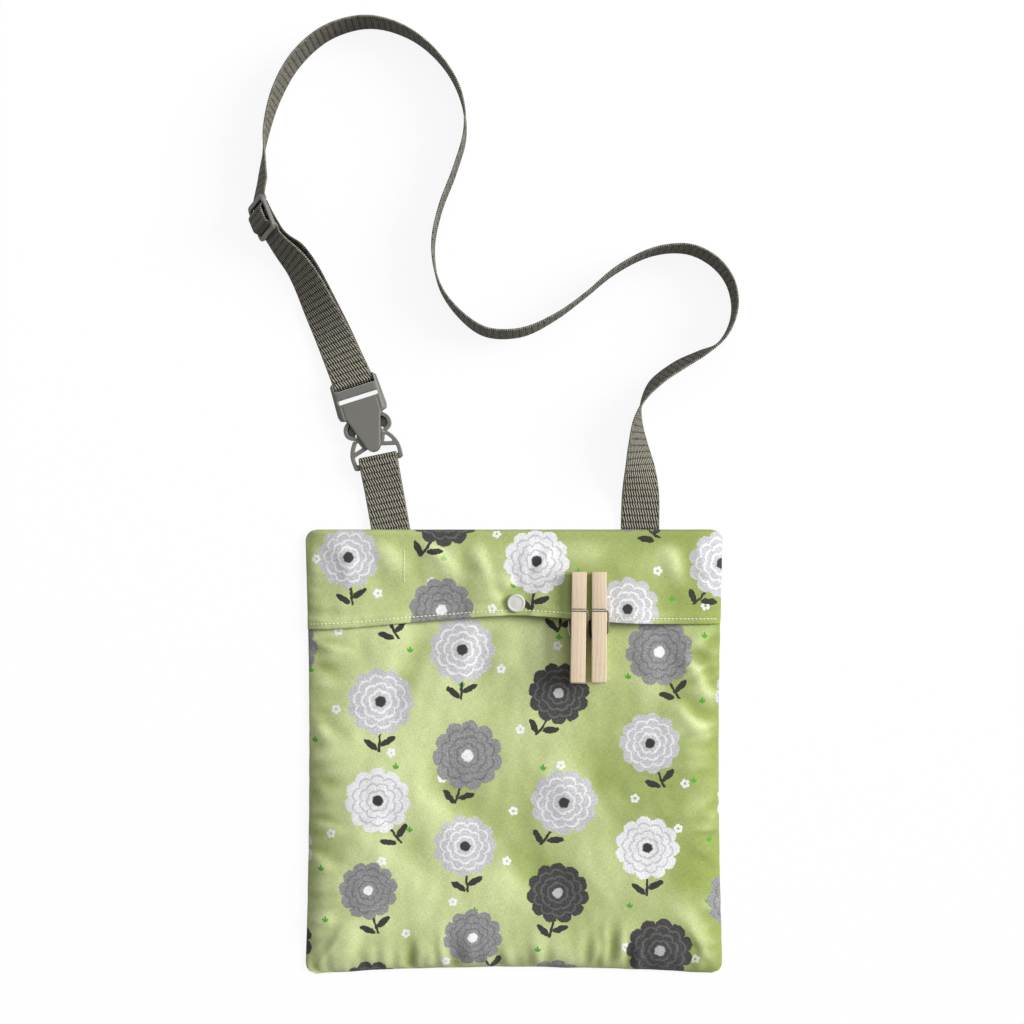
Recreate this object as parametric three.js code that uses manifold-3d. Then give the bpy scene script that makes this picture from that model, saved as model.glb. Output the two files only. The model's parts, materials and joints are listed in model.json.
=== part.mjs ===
// A peg bag that lies on its back: a cloth pocket with an envelope flap, a press fastener, a webbing
// shoulder strap with a slider and a side-release buckle, and two spring pegs clipped to the flap's hem.
// Millimetres. +Z is up off the surface, +Y runs from the bag's bottom to its strap, and the origin is
// the middle of the bag's back.
import * as THREE from 'three';
import { mergeVertices } from 'three/addons/utils/BufferGeometryUtils.js';
import Module from 'manifold-3d';

const wasm = await Module();
wasm.setup();

// Bag
const BAG_WIDTH = 271;
const BAG_HEIGHT = 288;
const SIDE_HOLLOW = 2.6; // how far each side draws in at mid height
const BOTTOM_HOLLOW = 4; // how far the bottom seam bows up between its corners
const CORNER_RADIUS = 5;
const BACK_THICKNESS = 1;
const CLOTH = 1.2;
const SEAM_GAP = 0.3;
const UPPER_HEIGHT = 9; // top of the front cloth, under the flap
const CROWN_HEIGHT = 13.5; // top of the front cloth, at the fullest part of the pocket
const CROWN_START = 38; // the pocket swells from this level down to CROWN_FULL
const CROWN_FULL = -25;
const EDGE_PUFF = 10; // how quickly the cloth rises from a seam
const MOUTH_DEPTH = 26; // from the top fold down to the front panel's hem

// Flap
const FLAP_DEPTH = 61; // from the top fold to the hem, away from the fastener
const HEM_RISE = 6; // the hem is drawn up this far at the fastener
const HEM_RISE_SPREAD = 55;
const HEM_THICKNESS = 1.8;
const HEM_DEPTH = 8;
const FOLD_RADIUS = 3.1;
const FLAP_GAP = 0.5;
const FLAP_SIDE_RUN = 20; // the fold's full height dies away into the side seams over this length

// Press fastener
const SNAP_X = 1.3;
const SNAP_DROP = 47; // from the top fold
const SNAP_RADIUS = 6;
const SNAP_CAP_HEIGHT = 1.8;
const SNAP_RIM = 4.8; // radius of the cap's raised rim
const SNAP_SHOULDER = 0.8; // height of the cap's sloped edge
const SNAP_EASE = 0.6;
const SNAP_DISH = 0.35; // the cap's face is sunk this far inside its rim
const SNAP_DISH_RUN = 0.7;
const SNAP_CROWN = 0.1; // the face's middle is this far under the rim
const INNER_CAP_HEIGHT = 1.4;
const STUD_BASE_RADIUS = 5.5;
const STUD_BASE_HEIGHT = 1;
const STUD_KNOB_RADIUS = 2.9;
const STUD_KNOB_HEIGHT = 1.7;
const STUD_EASE = 0.5;
const STUD_NECK = 0.4;
const SNAP_CLEARANCE = 0.3;
const SOCKET_HEIGHT = 2.4;
const SOCKET_ROOF = 0.5;
const SOCKET_CHAMFER = 0.8;
const SNAP_PIN_RADIUS = 1.2;
const SNAP_FLAT = 15; // the flap lies level this far each side of the fastener
const SNAP_SPREAD = 18; // and falls away over about this length

// Webbing
const WEBBING_WIDTH = 25;
const WEBBING_THICKNESS = 1.4;
const TAIL_LENGTH = 33; // webbing sewn in behind the fold
const STUB_LEAN = 10; // degrees to the left
const FLOOR_GAP = 0.3;
const WRAP_GAP = 0.3; // between webbing and the bar that it goes round
const STUB_PARTING = 22; // the stub's layers part this far from its bar
const STUB_ROUND = 5; // and lie level again this far from it
const STUB_EYE = 16; // length of the opening between the layers, before the bar

// Side-release buckle, along its own axis from the strap's end towards the bag
const BUCKLE_TURN = 17.6; // degrees, its strap end to the left
const BUCKLE_X = -104.7;
const BUCKLE_RISE = 97.7; // its strap end, over the top fold
const BUCKLE_WIDTH = 31;
const BUCKLE_LENGTH = 49.6;
const BUCKLE_THICKNESS = 9;
const BUCKLE_WALL = 1.8;
const END_BAR = 3;
const END_BAR_THICKNESS = 3.4;
const FIRST_SLOT_END = 6.2;
const SECOND_SLOT_START = 11.2;
const SECOND_SLOT_END = 14.6;
const CAVITY_START = 16.4;
const LIP_START = 21.8;
const WINDOW_START = 24.6;
const LIP_HALF_WIDTH = 11.6;
const LIP_SLOPE = 1;
const TONGUE_SHOULDER = 10.6; // half width of the tapered plates where they start
const TONGUE_TIP = 4.5; // half width of the tapered plates near their round end
const TONGUE_START = 28;
const LOOP_START = 38.3;
const LOOP_END = 59.6;
const LOOP_WIDTH = 33;
const LOOP_RING = 2.6;
const LOOP_THICKNESS = 4.2;
const LOOP_BAR_RADIUS = 1.9;
const LOOP_BAR_SET = 1.2; // from the bar to the loop's end
const ARCH_TOP = 44.6;
const ARCH_FOOT = 48.4;
const GUIDE_HALF_WIDTH = 3.2;
const PRONG_THICKNESS = 2.6;
const PRONG_ROOT_X = 10.2;
const PRONG_BOW_X = 15.8;
const PRONG_TIP = 17.4;
const BARB = 1.9;
const BUCKLE_CLEARANCE = 0.3;
const BUCKLE_CORNER = 1.8;
const SIDE_FLARE = 0.9; // the socket's sides swell this far, just before the windows
const FLARE_SET = 3;
const SHOULDER_STEP = 2; // the tapered plates start this much wider, as a fillet
const SHOULDER_DROP = 0.6;
const TONGUE_FILLET = 0.6;
const TONGUE_END_RUN = 4; // the plates' round end
const TONGUE_END_HALF = 2.9;
const TONGUE_END_DROP = 0.9;
const TONGUE_NOSE = 1;
const SLOT_CORNER = 1;
const WELL_REACH = 3; // the wells over and under the end bar run out past the strap end
const WELL_CORNER = 0.5;
const CUT_PAST = 1; // how far a cutter stands past what it cuts
const YOKE_HALF = 8.6; // half width of the plug's yoke
const YOKE_WIDTH = 3;
const YOKE_RISE = 1.4;
const YOKE_SET = 0.6;
const LOOP_SHOULDER = 3;
const LOOP_SHOULDER_DROP = 3.6;
const LOOP_FOOT_RISE = 1.5;
const LOOP_FOOT_DROP = 1.2;
const LOOP_FOOT_IN = 0.2;
const STRUT_WIDTH = 2.4;
const STRUT_HALF = [8.4, 7.4, 5.2]; // half the distance between the struts, at their ends and middle
const STRUT_MIDDLE = 42;
const STRUT_SET = 0.8;
const ARCH_HALF = 6.4;
const ARCH_FALL = 1.4;
const ARCH_STRUT = 1.2;
const GUIDE_SET = 0.6;
const GUIDE_TIP = 1.2;
const PRONG_ROOT_SET = 0.4;
const PRONG_SHOULDER_IN = 2.2;
const PRONG_SHOULDER_SET = 2.4;
const PRONG_BOW_AT = 33;
const PRONG_WAIST_AT = 29.6;
const PRONG_WAIST_IN = 0.9;
const PRONG_NECK_SET = 1.4;
const PRONG_TAPER = 0.3;
const BARB_ROOT = 1;
const BARB_TIP = 0.4;
const SLOT_ROOM = 0.9; // beside the webbing, each side

// Slider
const SLIDER_X = -161.7;
const SLIDER_RISE = 199.9; // its middle, over the top fold
const SLIDER_LENGTH = 24;
const SLIDER_WIDTH = 31;
const SLIDER_THICKNESS = 2.6;
const SLIDER_BAR = 3.4;
const SLIDER_END = 3;
const SLIDER_SIDE = 2.7;
const SLIDER_CORNER = 4;
const SLIDER_SLOT_CORNER = 1.2;
const SLIDER_TURN = 22; // degrees, its upper end to the left
const SLIDER_TILT = 64; // degrees, its right side up
const THREAD_REACH = 1.4; // the strap is threaded straight this far past the slider's ends
const THREAD_SLACK = 0.2;
const THREAD_STEPS = 16;
const SLOPE_STEP = 0.2;

// Pegs
const PEG_LENGTH = 71;
const PEG_WIDTH = 9.4;
const PEG_LEG = 6.5;
const PEG_HANDLE_LEG = 3.2;
const PEG_COIL_AT = 40; // from the jaw's tip
const PEG_GROOVE_AT = 24.5;
const PEG_LINE_NOTCH_AT = 11;
const PEG_LINE_NOTCH_RADIUS = 2.6;
const PEG_JAW_LIP = 1; // the jaw's tip is cut back by these two
const PEG_JAW_OPEN = 1.4;
const PEG_EASE = 1.1;
const PEG_JAW_DROP = 26.7; // the jaws' tips, from the top fold
const PEG_PLACES = { left: { x: 41, turn: -0.8 }, right: { x: 54.2, turn: 0 } };
const PEG_LIFT = 0.6; // between the lower leg and the front cloth
const PEG_FLAT = 20; // the flap lies level this far each side of the pegs' middle
const PEG_SPREAD = 24; // and falls away over about this length
const WIRE = 1.4;
const COIL_RADIUS = 2.6;
const COIL_TURNS = 5;
const COIL_PITCH = 2.05;
const COIL_TURN_STEPS = 8;
const ARM_START = 1.2; // where the spring's arm leaves its coil
const ARM_LIFT = 0.2;
const ARM_BOW = 0.1;
const ARM_BEND = 1.6; // the arm turns over the leg within this length
const ARM_DIP = 0.5;
const ARM_END = 0.4; // short of the leg's far side
const WIRE_CLEARANCE = 0.3;
const GRIP_GAP = 0.3; // between a jaw and the hem that it grips

const COLOURS = {
  cloth: new THREE.MeshStandardMaterial({ color: 0xbfd07f, roughness: 0.9, metalness: 0 }),
  webbing: new THREE.MeshStandardMaterial({ color: 0x6a685c, roughness: 0.85, metalness: 0 }),
  moulding: new THREE.MeshStandardMaterial({ color: 0x7b7a74, roughness: 0.5, metalness: 0 }),
  snap: new THREE.MeshStandardMaterial({ color: 0xece9df, roughness: 0.35, metalness: 0 }),
  wood: new THREE.MeshStandardMaterial({ color: 0xe3cba9, roughness: 0.7, metalness: 0 }),
  wire: new THREE.MeshStandardMaterial({ color: 0xb9bcc0, roughness: 0.3, metalness: 1 }),
};

const bag = new THREE.Group();

// Shared makers

function closedGeometry(points, faces) {
  const volume = faces.reduce((sum, [a, b, c]) => {
    const normal = points[b].clone().cross(points[c]);
    return sum + points[a].dot(normal);
  }, 0);
  const turned = volume < 0 ? faces.map(([a, b, c]) => [a, c, b]) : faces;
  const geometry = new THREE.BufferGeometry();
  geometry.setAttribute('position', new THREE.Float32BufferAttribute(points.flatMap((p) => p.toArray()), 3));
  geometry.setIndex(turned.flat());
  return geometry;
}

// Joins rings of points into one closed body, with a fan over each end.
function loft(rings) {
  const sides = rings[0].length;
  const points = rings.flat();
  const faces = [];
  for (let r = 0; r + 1 < rings.length; r += 1) {
    for (let s = 0; s < sides; s += 1) {
      const a = r * sides + s;
      const b = r * sides + ((s + 1) % sides);
      faces.push([a, b, b + sides], [a, b + sides, a + sides]);
    }
  }
  const last = (rings.length - 1) * sides;
  for (let s = 1; s + 1 < sides; s += 1) {
    faces.push([0, s + 1, s], [last, last + s, last + s + 1]);
  }
  return closedGeometry(points, faces);
}

// Closes a grid of outer points and a matching grid of inner points into a sheet of cloth.
function sheet(outer, inner) {
  const rows = outer.length;
  const columns = outer[0].length;
  const points = [...outer.flat(), ...inner.flat()];
  const under = rows * columns;
  const faces = [];
  const at = (i, j) => i * columns + j;
  const wall = (a, b) => faces.push([a, b, b + under], [a, b + under, a + under]);
  for (let i = 0; i + 1 < rows; i += 1) {
    for (let j = 0; j + 1 < columns; j += 1) {
      const [a, b, c, d] = [at(i, j), at(i + 1, j), at(i + 1, j + 1), at(i, j + 1)];
      faces.push([a, c, b], [a, d, c]);
      faces.push([a + under, b + under, c + under], [a + under, c + under, d + under]);
    }
    wall(at(i, 0), at(i + 1, 0));
    wall(at(i + 1, columns - 1), at(i, columns - 1));
  }
  for (let j = 0; j + 1 < columns; j += 1) {
    wall(at(0, j + 1), at(0, j));
    wall(at(rows - 1, j), at(rows - 1, j + 1));
  }
  return closedGeometry(points, faces);
}

function solidOf(geometry) {
  const bare = geometry.clone();
  bare.deleteAttribute('normal');
  bare.deleteAttribute('uv');
  const merged = mergeVertices(bare, 1e-4);
  return new wasm.Manifold(
    new wasm.Mesh({
      numProp: 3,
      vertProperties: new Float32Array(merged.attributes.position.array),
      triVerts: new Uint32Array(merged.index.array),
    }),
  );
}

function geometryOf(solid) {
  const mesh = solid.getMesh();
  const geometry = new THREE.BufferGeometry();
  geometry.setAttribute('position', new THREE.BufferAttribute(new Float32Array(mesh.vertProperties), 3));
  geometry.setIndex(new THREE.BufferAttribute(new Uint32Array(mesh.triVerts), 1));
  return geometry;
}

function cut(body, ...tools) {
  return geometryOf(tools.reduce((rest, tool) => rest.subtract(solidOf(tool)), solidOf(body)));
}

function join(first, ...others) {
  return geometryOf(others.reduce((all, body) => all.add(solidOf(body)), solidOf(first)));
}

// A flat plate from z = low to z = high.
function plate(shape, low, high, curveSegments = 6) {
  const depth = high - low;
  const geometry = new THREE.ExtrudeGeometry(shape, { depth, bevelEnabled: false, curveSegments });
  return geometry.translate(0, 0, low);
}

function pin(radius, x, y, low, high, sides = 12) {
  const geometry = new THREE.CylinderGeometry(radius, radius, high - low, sides);
  return geometry.rotateX(Math.PI / 2).translate(x, y, (low + high) / 2);
}

function outline(points) {
  return new THREE.Shape(points.map(([x, y]) => new THREE.Vector2(x, y)));
}

function roundedRectangle(x0, y0, x1, y1, radius) {
  const shape = new THREE.Shape();
  shape.moveTo(x0 + radius, y0);
  shape.lineTo(x1 - radius, y0).absarc(x1 - radius, y0 + radius, radius, -Math.PI / 2, 0);
  shape.lineTo(x1, y1 - radius).absarc(x1 - radius, y1 - radius, radius, 0, Math.PI / 2);
  shape.lineTo(x0 + radius, y1).absarc(x0 + radius, y1 - radius, radius, Math.PI / 2, Math.PI);
  shape.lineTo(x0, y0 + radius).absarc(x0 + radius, y0 + radius, radius, Math.PI, 1.5 * Math.PI);
  return shape;
}

function add(name, geometry, material, parent = bag) {
  const mesh = new THREE.Mesh(geometry, material);
  mesh.name = name;
  parent.add(mesh);
  return mesh;
}

const smooth = (from, to, value) => THREE.MathUtils.smoothstep(value, from, to);
const steps = (count) => Array.from({ length: count + 1 }, (_, i) => i / count);
const bump = (distance, reach) => Math.exp(-((distance / reach) ** 2));

// Cloth surfaces

const TOP = BAG_HEIGHT / 2;
const FOLD_Y = TOP - FOLD_RADIUS;
const MOUTH_Y = TOP - MOUTH_DEPTH;
const SNAP_Y = TOP - SNAP_DROP;
const BUCKLE_Y = TOP + BUCKLE_RISE;
const SLIDER_Y = TOP + SLIDER_RISE;
const RIM_LOW = BACK_THICKNESS + SEAM_GAP;
const STUB_TOP = RIM_LOW + 2 * WEBBING_THICKNESS;
const FOLD_Z = STUB_TOP + SEAM_GAP + FOLD_RADIUS;

// The bag's half width at level y, with its drawn-in sides and round corners.
function halfWidth(y) {
  const level = Math.min(Math.abs(y) / TOP, 1);
  const side = BAG_WIDTH / 2 - SIDE_HOLLOW * (1 - level ** 2);
  const past = Math.max(Math.abs(y) - (TOP - CORNER_RADIUS), 0);
  return side - CORNER_RADIUS + Math.sqrt(Math.max(CORNER_RADIUS ** 2 - past ** 2, 0));
}

// How far the lower half is drawn up towards its bowed bottom seam, u from -1 to 1 across the bag.
const drawnUp = (u, y) => BOTTOM_HOLLOW * (1 - u ** 2) * smooth(0, TOP, -y);

const puff = (distance) => 1 - Math.exp(-Math.max(distance, 0) / EDGE_PUFF);

// The underside of the front cloth.
function frontUnder(x, y) {
  const fullness = smooth(-CROWN_START, -CROWN_FULL, -y);
  const height = UPPER_HEIGHT + (CROWN_HEIGHT - UPPER_HEIGHT) * fullness - CLOTH - RIM_LOW;
  const sides = puff(halfWidth(y) - Math.abs(x));
  return RIM_LOW + height * sides * puff(y + TOP);
}

const frontTop = (x, y) => frontUnder(x, y) + CLOTH;

const PEGS_X = (PEG_PLACES.left.x + PEG_PLACES.right.x) / 2;
const SNAP_STACK = SNAP_CLEARANCE + STUD_BASE_HEIGHT + SNAP_CLEARANCE + SOCKET_HEIGHT + SNAP_CLEARANCE;
const PEG_STACK = PEG_LIFT + PEG_LEG + GRIP_GAP;

// The flap's underside rises over the fastener's stud and over the pegs' lower legs.
function flapUnder(x, y) {
  const lying = frontTop(x, Math.min(y, MOUTH_Y)) + FLAP_GAP;
  const down = smooth(0, MOUTH_DEPTH, TOP - y);
  const overSnap = (SNAP_STACK - FLAP_GAP) * bump(Math.max(Math.abs(x - SNAP_X) - SNAP_FLAT, 0), SNAP_SPREAD);
  const overPegs = (PEG_STACK - FLAP_GAP) * bump(Math.max(Math.abs(x - PEGS_X) - PEG_FLAT, 0), PEG_SPREAD);
  const raised = lying + Math.max(overSnap, overPegs) * down;
  const nearFold = 1 - smooth(0, FLAP_SIDE_RUN, FOLD_Y - y);
  return raised + (FOLD_Z + FOLD_RADIUS - CLOTH - raised) * nearFold;
}

const hemY = (x) => TOP - FLAP_DEPTH + HEM_RISE * bump(x - SNAP_X, HEM_RISE_SPREAD);

// Bag panels

function backPanel() {
  const levels = steps(6).map((t) => -TOP + CORNER_RADIUS * (1 - Math.cos((t * Math.PI) / 2)));
  const middle = steps(10).map((t) => -TOP + CORNER_RADIUS + (BAG_HEIGHT - 2 * CORNER_RADIUS) * t);
  const ys = [...levels, ...middle.slice(1), ...levels.slice(0, -1).map((y) => -y).reverse()];
  const right = ys.map((y) => [halfWidth(y), y]);
  const left = [...right].reverse().map(([x, y]) => [-x, y]);
  const seam = steps(16).slice(1, -1).map((t) => 2 * t - 1);
  const foot = seam.map((u) => [u * halfWidth(-TOP), -TOP + drawnUp(u, -TOP)]);
  return plate(outline([...right, ...left, ...foot]), 0, BACK_THICKNESS);
}

function frontPanel() {
  const columns = steps(28).map((t) => Math.sin((t - 0.5) * Math.PI));
  const rows = steps(20).map((t) => -TOP + (MOUTH_Y + TOP) * (1 - Math.cos((t * Math.PI) / 2)));
  const grid = (height) =>
    rows.map((y) => columns.map((u) => {
      const x = u * halfWidth(y);
      return new THREE.Vector3(x, y + drawnUp(u, y), height(x, y));
    }));
  const hole = pin(SNAP_PIN_RADIUS + SNAP_CLEARANCE, SNAP_X, SNAP_Y, 0, CROWN_HEIGHT);
  return cut(sheet(grid(frontTop), grid(frontUnder)), hole);
}

function flap() {
  const columns = steps(34).map((t) => Math.sin((t - 0.5) * Math.PI));
  const roll = steps(6).map((t) => (t - 0.5) * Math.PI);
  const run = steps(9).slice(1);
  const outer = [];
  const inner = [];
  for (const angle of roll) {
    const ring = (radius) =>
      columns.map((u) => {
        const y = FOLD_Y + radius * Math.cos(angle);
        return new THREE.Vector3(u * halfWidth(y), y, FOLD_Z + radius * Math.sin(angle));
      });
    outer.push(ring(FOLD_RADIUS));
    inner.push(ring(FOLD_RADIUS - CLOTH));
  }
  for (const t of run) {
    const row = (thick) =>
      columns.map((u) => {
        const end = hemY(u * (BAG_WIDTH / 2));
        const y = FOLD_Y + (end - FOLD_Y) * t;
        const x = u * halfWidth(y);
        const hem = CLOTH + (HEM_THICKNESS - CLOTH) * smooth(end + 2 * HEM_DEPTH, end + HEM_DEPTH, y);
        return new THREE.Vector3(x, y, flapUnder(x, y) + thick * hem);
      });
    outer.push(row(1));
    inner.push(row(0));
  }
  const hole = pin(SNAP_PIN_RADIUS + SNAP_CLEARANCE, SNAP_X, SNAP_Y, FOLD_Z, FOLD_Z + 4 * SNAP_STACK);
  return cut(sheet(outer, inner), hole);
}

add('back_panel', backPanel(), COLOURS.cloth);
add('front_panel', frontPanel(), COLOURS.cloth);
add('flap', flap(), COLOURS.cloth);

// Press fastener

function lathe(profile) {
  const points = profile.map(([r, z]) => new THREE.Vector2(r, z));
  return new THREE.LatheGeometry(points, 20).rotateX(Math.PI / 2);
}

function addSnap() {
  const under = frontUnder(SNAP_X, SNAP_Y);
  const top = under + CLOTH;
  const flapLow = top + SNAP_STACK;
  const flapTop = flapLow + HEM_THICKNESS;
  const place = new THREE.Group();
  place.position.set(SNAP_X, SNAP_Y, 0);
  bag.add(place);

  const capLow = flapTop + SNAP_CLEARANCE;
  const capTop = capLow + SNAP_CAP_HEIGHT;
  const pinEnd = flapLow - 2 * SNAP_CLEARANCE;
  add('snap_cap', lathe([
    [0, pinEnd], [SNAP_PIN_RADIUS, pinEnd], [SNAP_PIN_RADIUS, capLow], [SNAP_RADIUS, capLow],
    [SNAP_RADIUS, capTop - SNAP_SHOULDER], [SNAP_RIM + SNAP_EASE, capTop], [SNAP_RIM, capTop],
    [SNAP_RIM - SNAP_DISH_RUN, capTop - SNAP_DISH], [0, capTop - SNAP_CROWN],
  ]), COLOURS.snap, place);

  const socketTop = flapLow - SNAP_CLEARANCE;
  const socketLow = socketTop - SOCKET_HEIGHT;
  const bore = STUD_KNOB_RADIUS + SNAP_CLEARANCE;
  const pinBore = SNAP_PIN_RADIUS + SNAP_CLEARANCE;
  const boreTop = socketTop - SOCKET_ROOF;
  add('snap_socket', lathe([
    [pinBore, boreTop], [bore, boreTop], [bore, socketLow], [SNAP_RADIUS - SOCKET_CHAMFER, socketLow],
    [SNAP_RADIUS, socketLow + SOCKET_CHAMFER], [SNAP_RADIUS, socketTop], [pinBore, socketTop],
    [pinBore, boreTop],
  ]), COLOURS.snap, place);

  const baseLow = top + SNAP_CLEARANCE;
  const baseTop = baseLow + STUD_BASE_HEIGHT;
  const knobTop = baseTop + STUD_KNOB_HEIGHT;
  add('snap_stud', lathe([
    [0, baseLow], [STUD_BASE_RADIUS, baseLow], [STUD_BASE_RADIUS, baseTop - STUD_EASE],
    [STUD_BASE_RADIUS - STUD_EASE, baseTop], [STUD_KNOB_RADIUS - STUD_NECK, baseTop],
    [STUD_KNOB_RADIUS, knobTop - STUD_EASE], [STUD_KNOB_RADIUS - STUD_EASE, knobTop], [0, knobTop],
  ]), COLOURS.snap, place);

  const innerTop = under - SNAP_CLEARANCE;
  const innerLow = innerTop - INNER_CAP_HEIGHT;
  const headTop = baseLow - SNAP_CLEARANCE;
  add('snap_stud_cap', lathe([
    [0, innerLow], [SNAP_RIM, innerLow], [SNAP_RADIUS, innerLow + SNAP_EASE], [SNAP_RADIUS, innerTop],
    [SNAP_PIN_RADIUS, innerTop], [SNAP_PIN_RADIUS, headTop], [0, headTop],
  ]), COLOURS.snap, place);
}

addSnap();

// Webbing

// Four corners of the webbing's section round a point, from its width and thickness directions.
function webbingRing(centre, across, through) {
  const w = across.clone().multiplyScalar(WEBBING_WIDTH / 2);
  const t = through.clone().multiplyScalar(WEBBING_THICKNESS / 2);
  return [
    centre.clone().add(w).add(t),
    centre.clone().sub(w).add(t),
    centre.clone().sub(w).sub(t),
    centre.clone().add(w).sub(t),
  ];
}

// The slider stands half on edge where the strap twists.
const slider = new THREE.Group();
const sliderTilt = THREE.MathUtils.degToRad(SLIDER_TILT);
const sliderReach = SLIDER_WIDTH * Math.sin(sliderTilt) + SLIDER_THICKNESS * Math.cos(sliderTilt);
slider.position.set(SLIDER_X, SLIDER_Y, sliderReach / 2 + FLOOR_GAP);
slider.rotation.set(0, -sliderTilt, THREE.MathUtils.degToRad(SLIDER_TURN), 'ZYX');
slider.updateMatrixWorld();
bag.add(slider);

// A level stretch of webbing in the slider's own frame, at a distance along it and a height over it.
function inSlider(distance, height, slope) {
  const turn = (v) => v.transformDirection(slider.matrixWorld);
  const across = turn(new THREE.Vector3(1, 0, 0));
  const along = turn(new THREE.Vector3(0, -1, -slope));
  const centre = new THREE.Vector3(0, distance, height).applyMatrix4(slider.matrixWorld);
  return { centre, along, across, face: across.clone().cross(along).normalize() };
}

// The strap passes behind the slider's upper end, over its centre bar and behind its lower end.
const THREAD_LIFT = SLIDER_THICKNESS / 2 + WRAP_GAP + WEBBING_THICKNESS / 2 + THREAD_SLACK;
function threading() {
  const reach = SLIDER_LENGTH / 2 + THREAD_REACH;
  const inner = SLIDER_BAR / 2 - WRAP_GAP;
  const outer = SLIDER_LENGTH / 2 - SLIDER_END + 2 * THREAD_SLACK;
  const height = (y) => {
    const t = THREE.MathUtils.clamp((Math.abs(y) - inner) / (outer - inner), 0, 1);
    return THREAD_LIFT * Math.cos(Math.PI * t);
  };
  return steps(THREAD_STEPS).map((t) => {
    const y = reach * (1 - 2 * t);
    const slope = (height(y + SLOPE_STEP) - height(y - SLOPE_STEP)) / (2 * SLOPE_STEP);
    return inSlider(y, height(y), slope);
  });
}

// The strap's route: x, y from the top fold, the height of its lowest edge, and its lean in degrees, where
// 180 lies flat, 90 stands on edge, and less than 90 leans over the other way.
const STRAP_ROUTE = [
  [81.8, -33, 1.3, 180], [81.8, -16, 1.3, 180], [81.8, 2, 1.2, 180], [82, 20, 0.5, 172],
  [81.5, 38, 0.3, 146], [80, 54, 0.3, 124], [79.6, 69.5, 0.3, 106], [82.6, 82, 0.3, 90],
  [91, 94.6, 0.3, 76], [106, 105.6, 0.3, 74], [121.3, 113.8, 0.3, 80], [132.5, 120.5, 0.3, 90],
  [139.5, 131.5, 0.3, 90], [142, 145.5, 0.3, 89], [138.3, 160.5, 0.3, 87], [128, 172.8, 0.3, 86],
  [112, 180.3, 0.3, 86], [89.5, 178.6, 0.3, 87], [65.8, 167, 0.3, 88], [45.8, 150.6, 0.3, 90],
  [25.5, 136, 0.3, 88], [4, 126.6, 0.3, 84], [-18.5, 127.2, 0.3, 83], [-36, 139.6, 0.3, 86],
  [-48, 157.2, 0.3, 89], [-52, 181, 0.3, 90], [-47.5, 206, 0.3, 90], [-38, 231, 0.3, 90],
  [-31.4, 256, 0.3, 90], [-34.4, 280, 0.3, 92], [-47.2, 302, 0.3, 95], [-67.5, 319, 0.3, 92],
  [-93.5, 326.3, 0.3, 88], [-119.8, 319.5, 0.3, 86], [-140, 302.3, 0.3, 84], [-153, 279.2, 0.3, 84],
  [-159.8, 255, 0.3, 87], [-161.5, 237, 0.3, 97], [-162.6, 223, 0.3, 108],
];
const STRAP_STEPS = 64;

// The doubled stretch from the slider to the buckle's end bar, in the same terms.
const RETURN_ROUTE = [
  [-147, 177.5, 0.4, 134], [-139.6, 169.5, 0.4, 137], [-132.6, 159, 0.4, 141],
  [-125.2, 144, 0.5, 149], [-117.4, 127, 0.8, 160], [-110.4, 110, 1.2, 176],
];
const RETURN_STEPS = 15;
const RETURN_HEAD = 4; // straight webbing below the slider
const BEND_STEPS = 6;
const LAYER_GAP = 0.9; // between the doubled stretch's two layers

// Points along a route, each with the webbing's width and face directions there.
function stations(route, count) {
  const spline = (points) => new THREE.CatmullRomCurve3(points, false, 'centripetal');
  const curve = spline(route.map(([x, y, z]) => new THREE.Vector3(x, TOP + y, z)));
  const lean = spline(route.map(([, , , a]) => new THREE.Vector3(a, 0, 0)));
  return steps(count).map((t) => {
    const low = curve.getPoint(t);
    const along = curve.getTangent(t).setZ(0).normalize();
    const side = new THREE.Vector3(along.y, -along.x, 0);
    const angle = THREE.MathUtils.degToRad(lean.getPoint(t).x);
    const across = side.clone().multiplyScalar(Math.cos(angle)).setZ(Math.sin(angle));
    const face = across.clone().cross(along).normalize();
    const reach = (WEBBING_WIDTH / 2) * Math.abs(across.z) + (WEBBING_THICKNESS / 2) * Math.abs(face.z);
    return { centre: low.clone().setZ(low.z + reach), along, across, face };
  });
}

function strapMain() {
  const line = [...stations(STRAP_ROUTE, STRAP_STEPS), ...threading()];
  return loft(line.map((s) => webbingRing(s.centre, s.across, s.face)));
}

// The stub lies in two layers that part to go round the buckle's bar. Its outline is drawn in its own
// upright plane, along the webbing and up, and runs across the webbing's width.
const stubTurn = THREE.MathUtils.degToRad(STUB_LEAN);
const buckleTurn = THREE.MathUtils.degToRad(BUCKLE_TURN);
const LOOP_BAR_AT = LOOP_END - LOOP_BAR_RADIUS - LOOP_BAR_SET;
const LOOP_BAR_Z = RIM_LOW + WEBBING_THICKNESS + WRAP_GAP + LOOP_BAR_RADIUS;
const loopBar = new THREE.Vector2(0, -LOOP_BAR_AT).rotateAround(new THREE.Vector2(), buckleTurn);
loopBar.add(new THREE.Vector2(BUCKLE_X, BUCKLE_Y));
const STUB_SKEW = (WEBBING_WIDTH / 2) * Math.sin(buckleTurn - stubTurn); // the bar crosses at an angle

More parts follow.
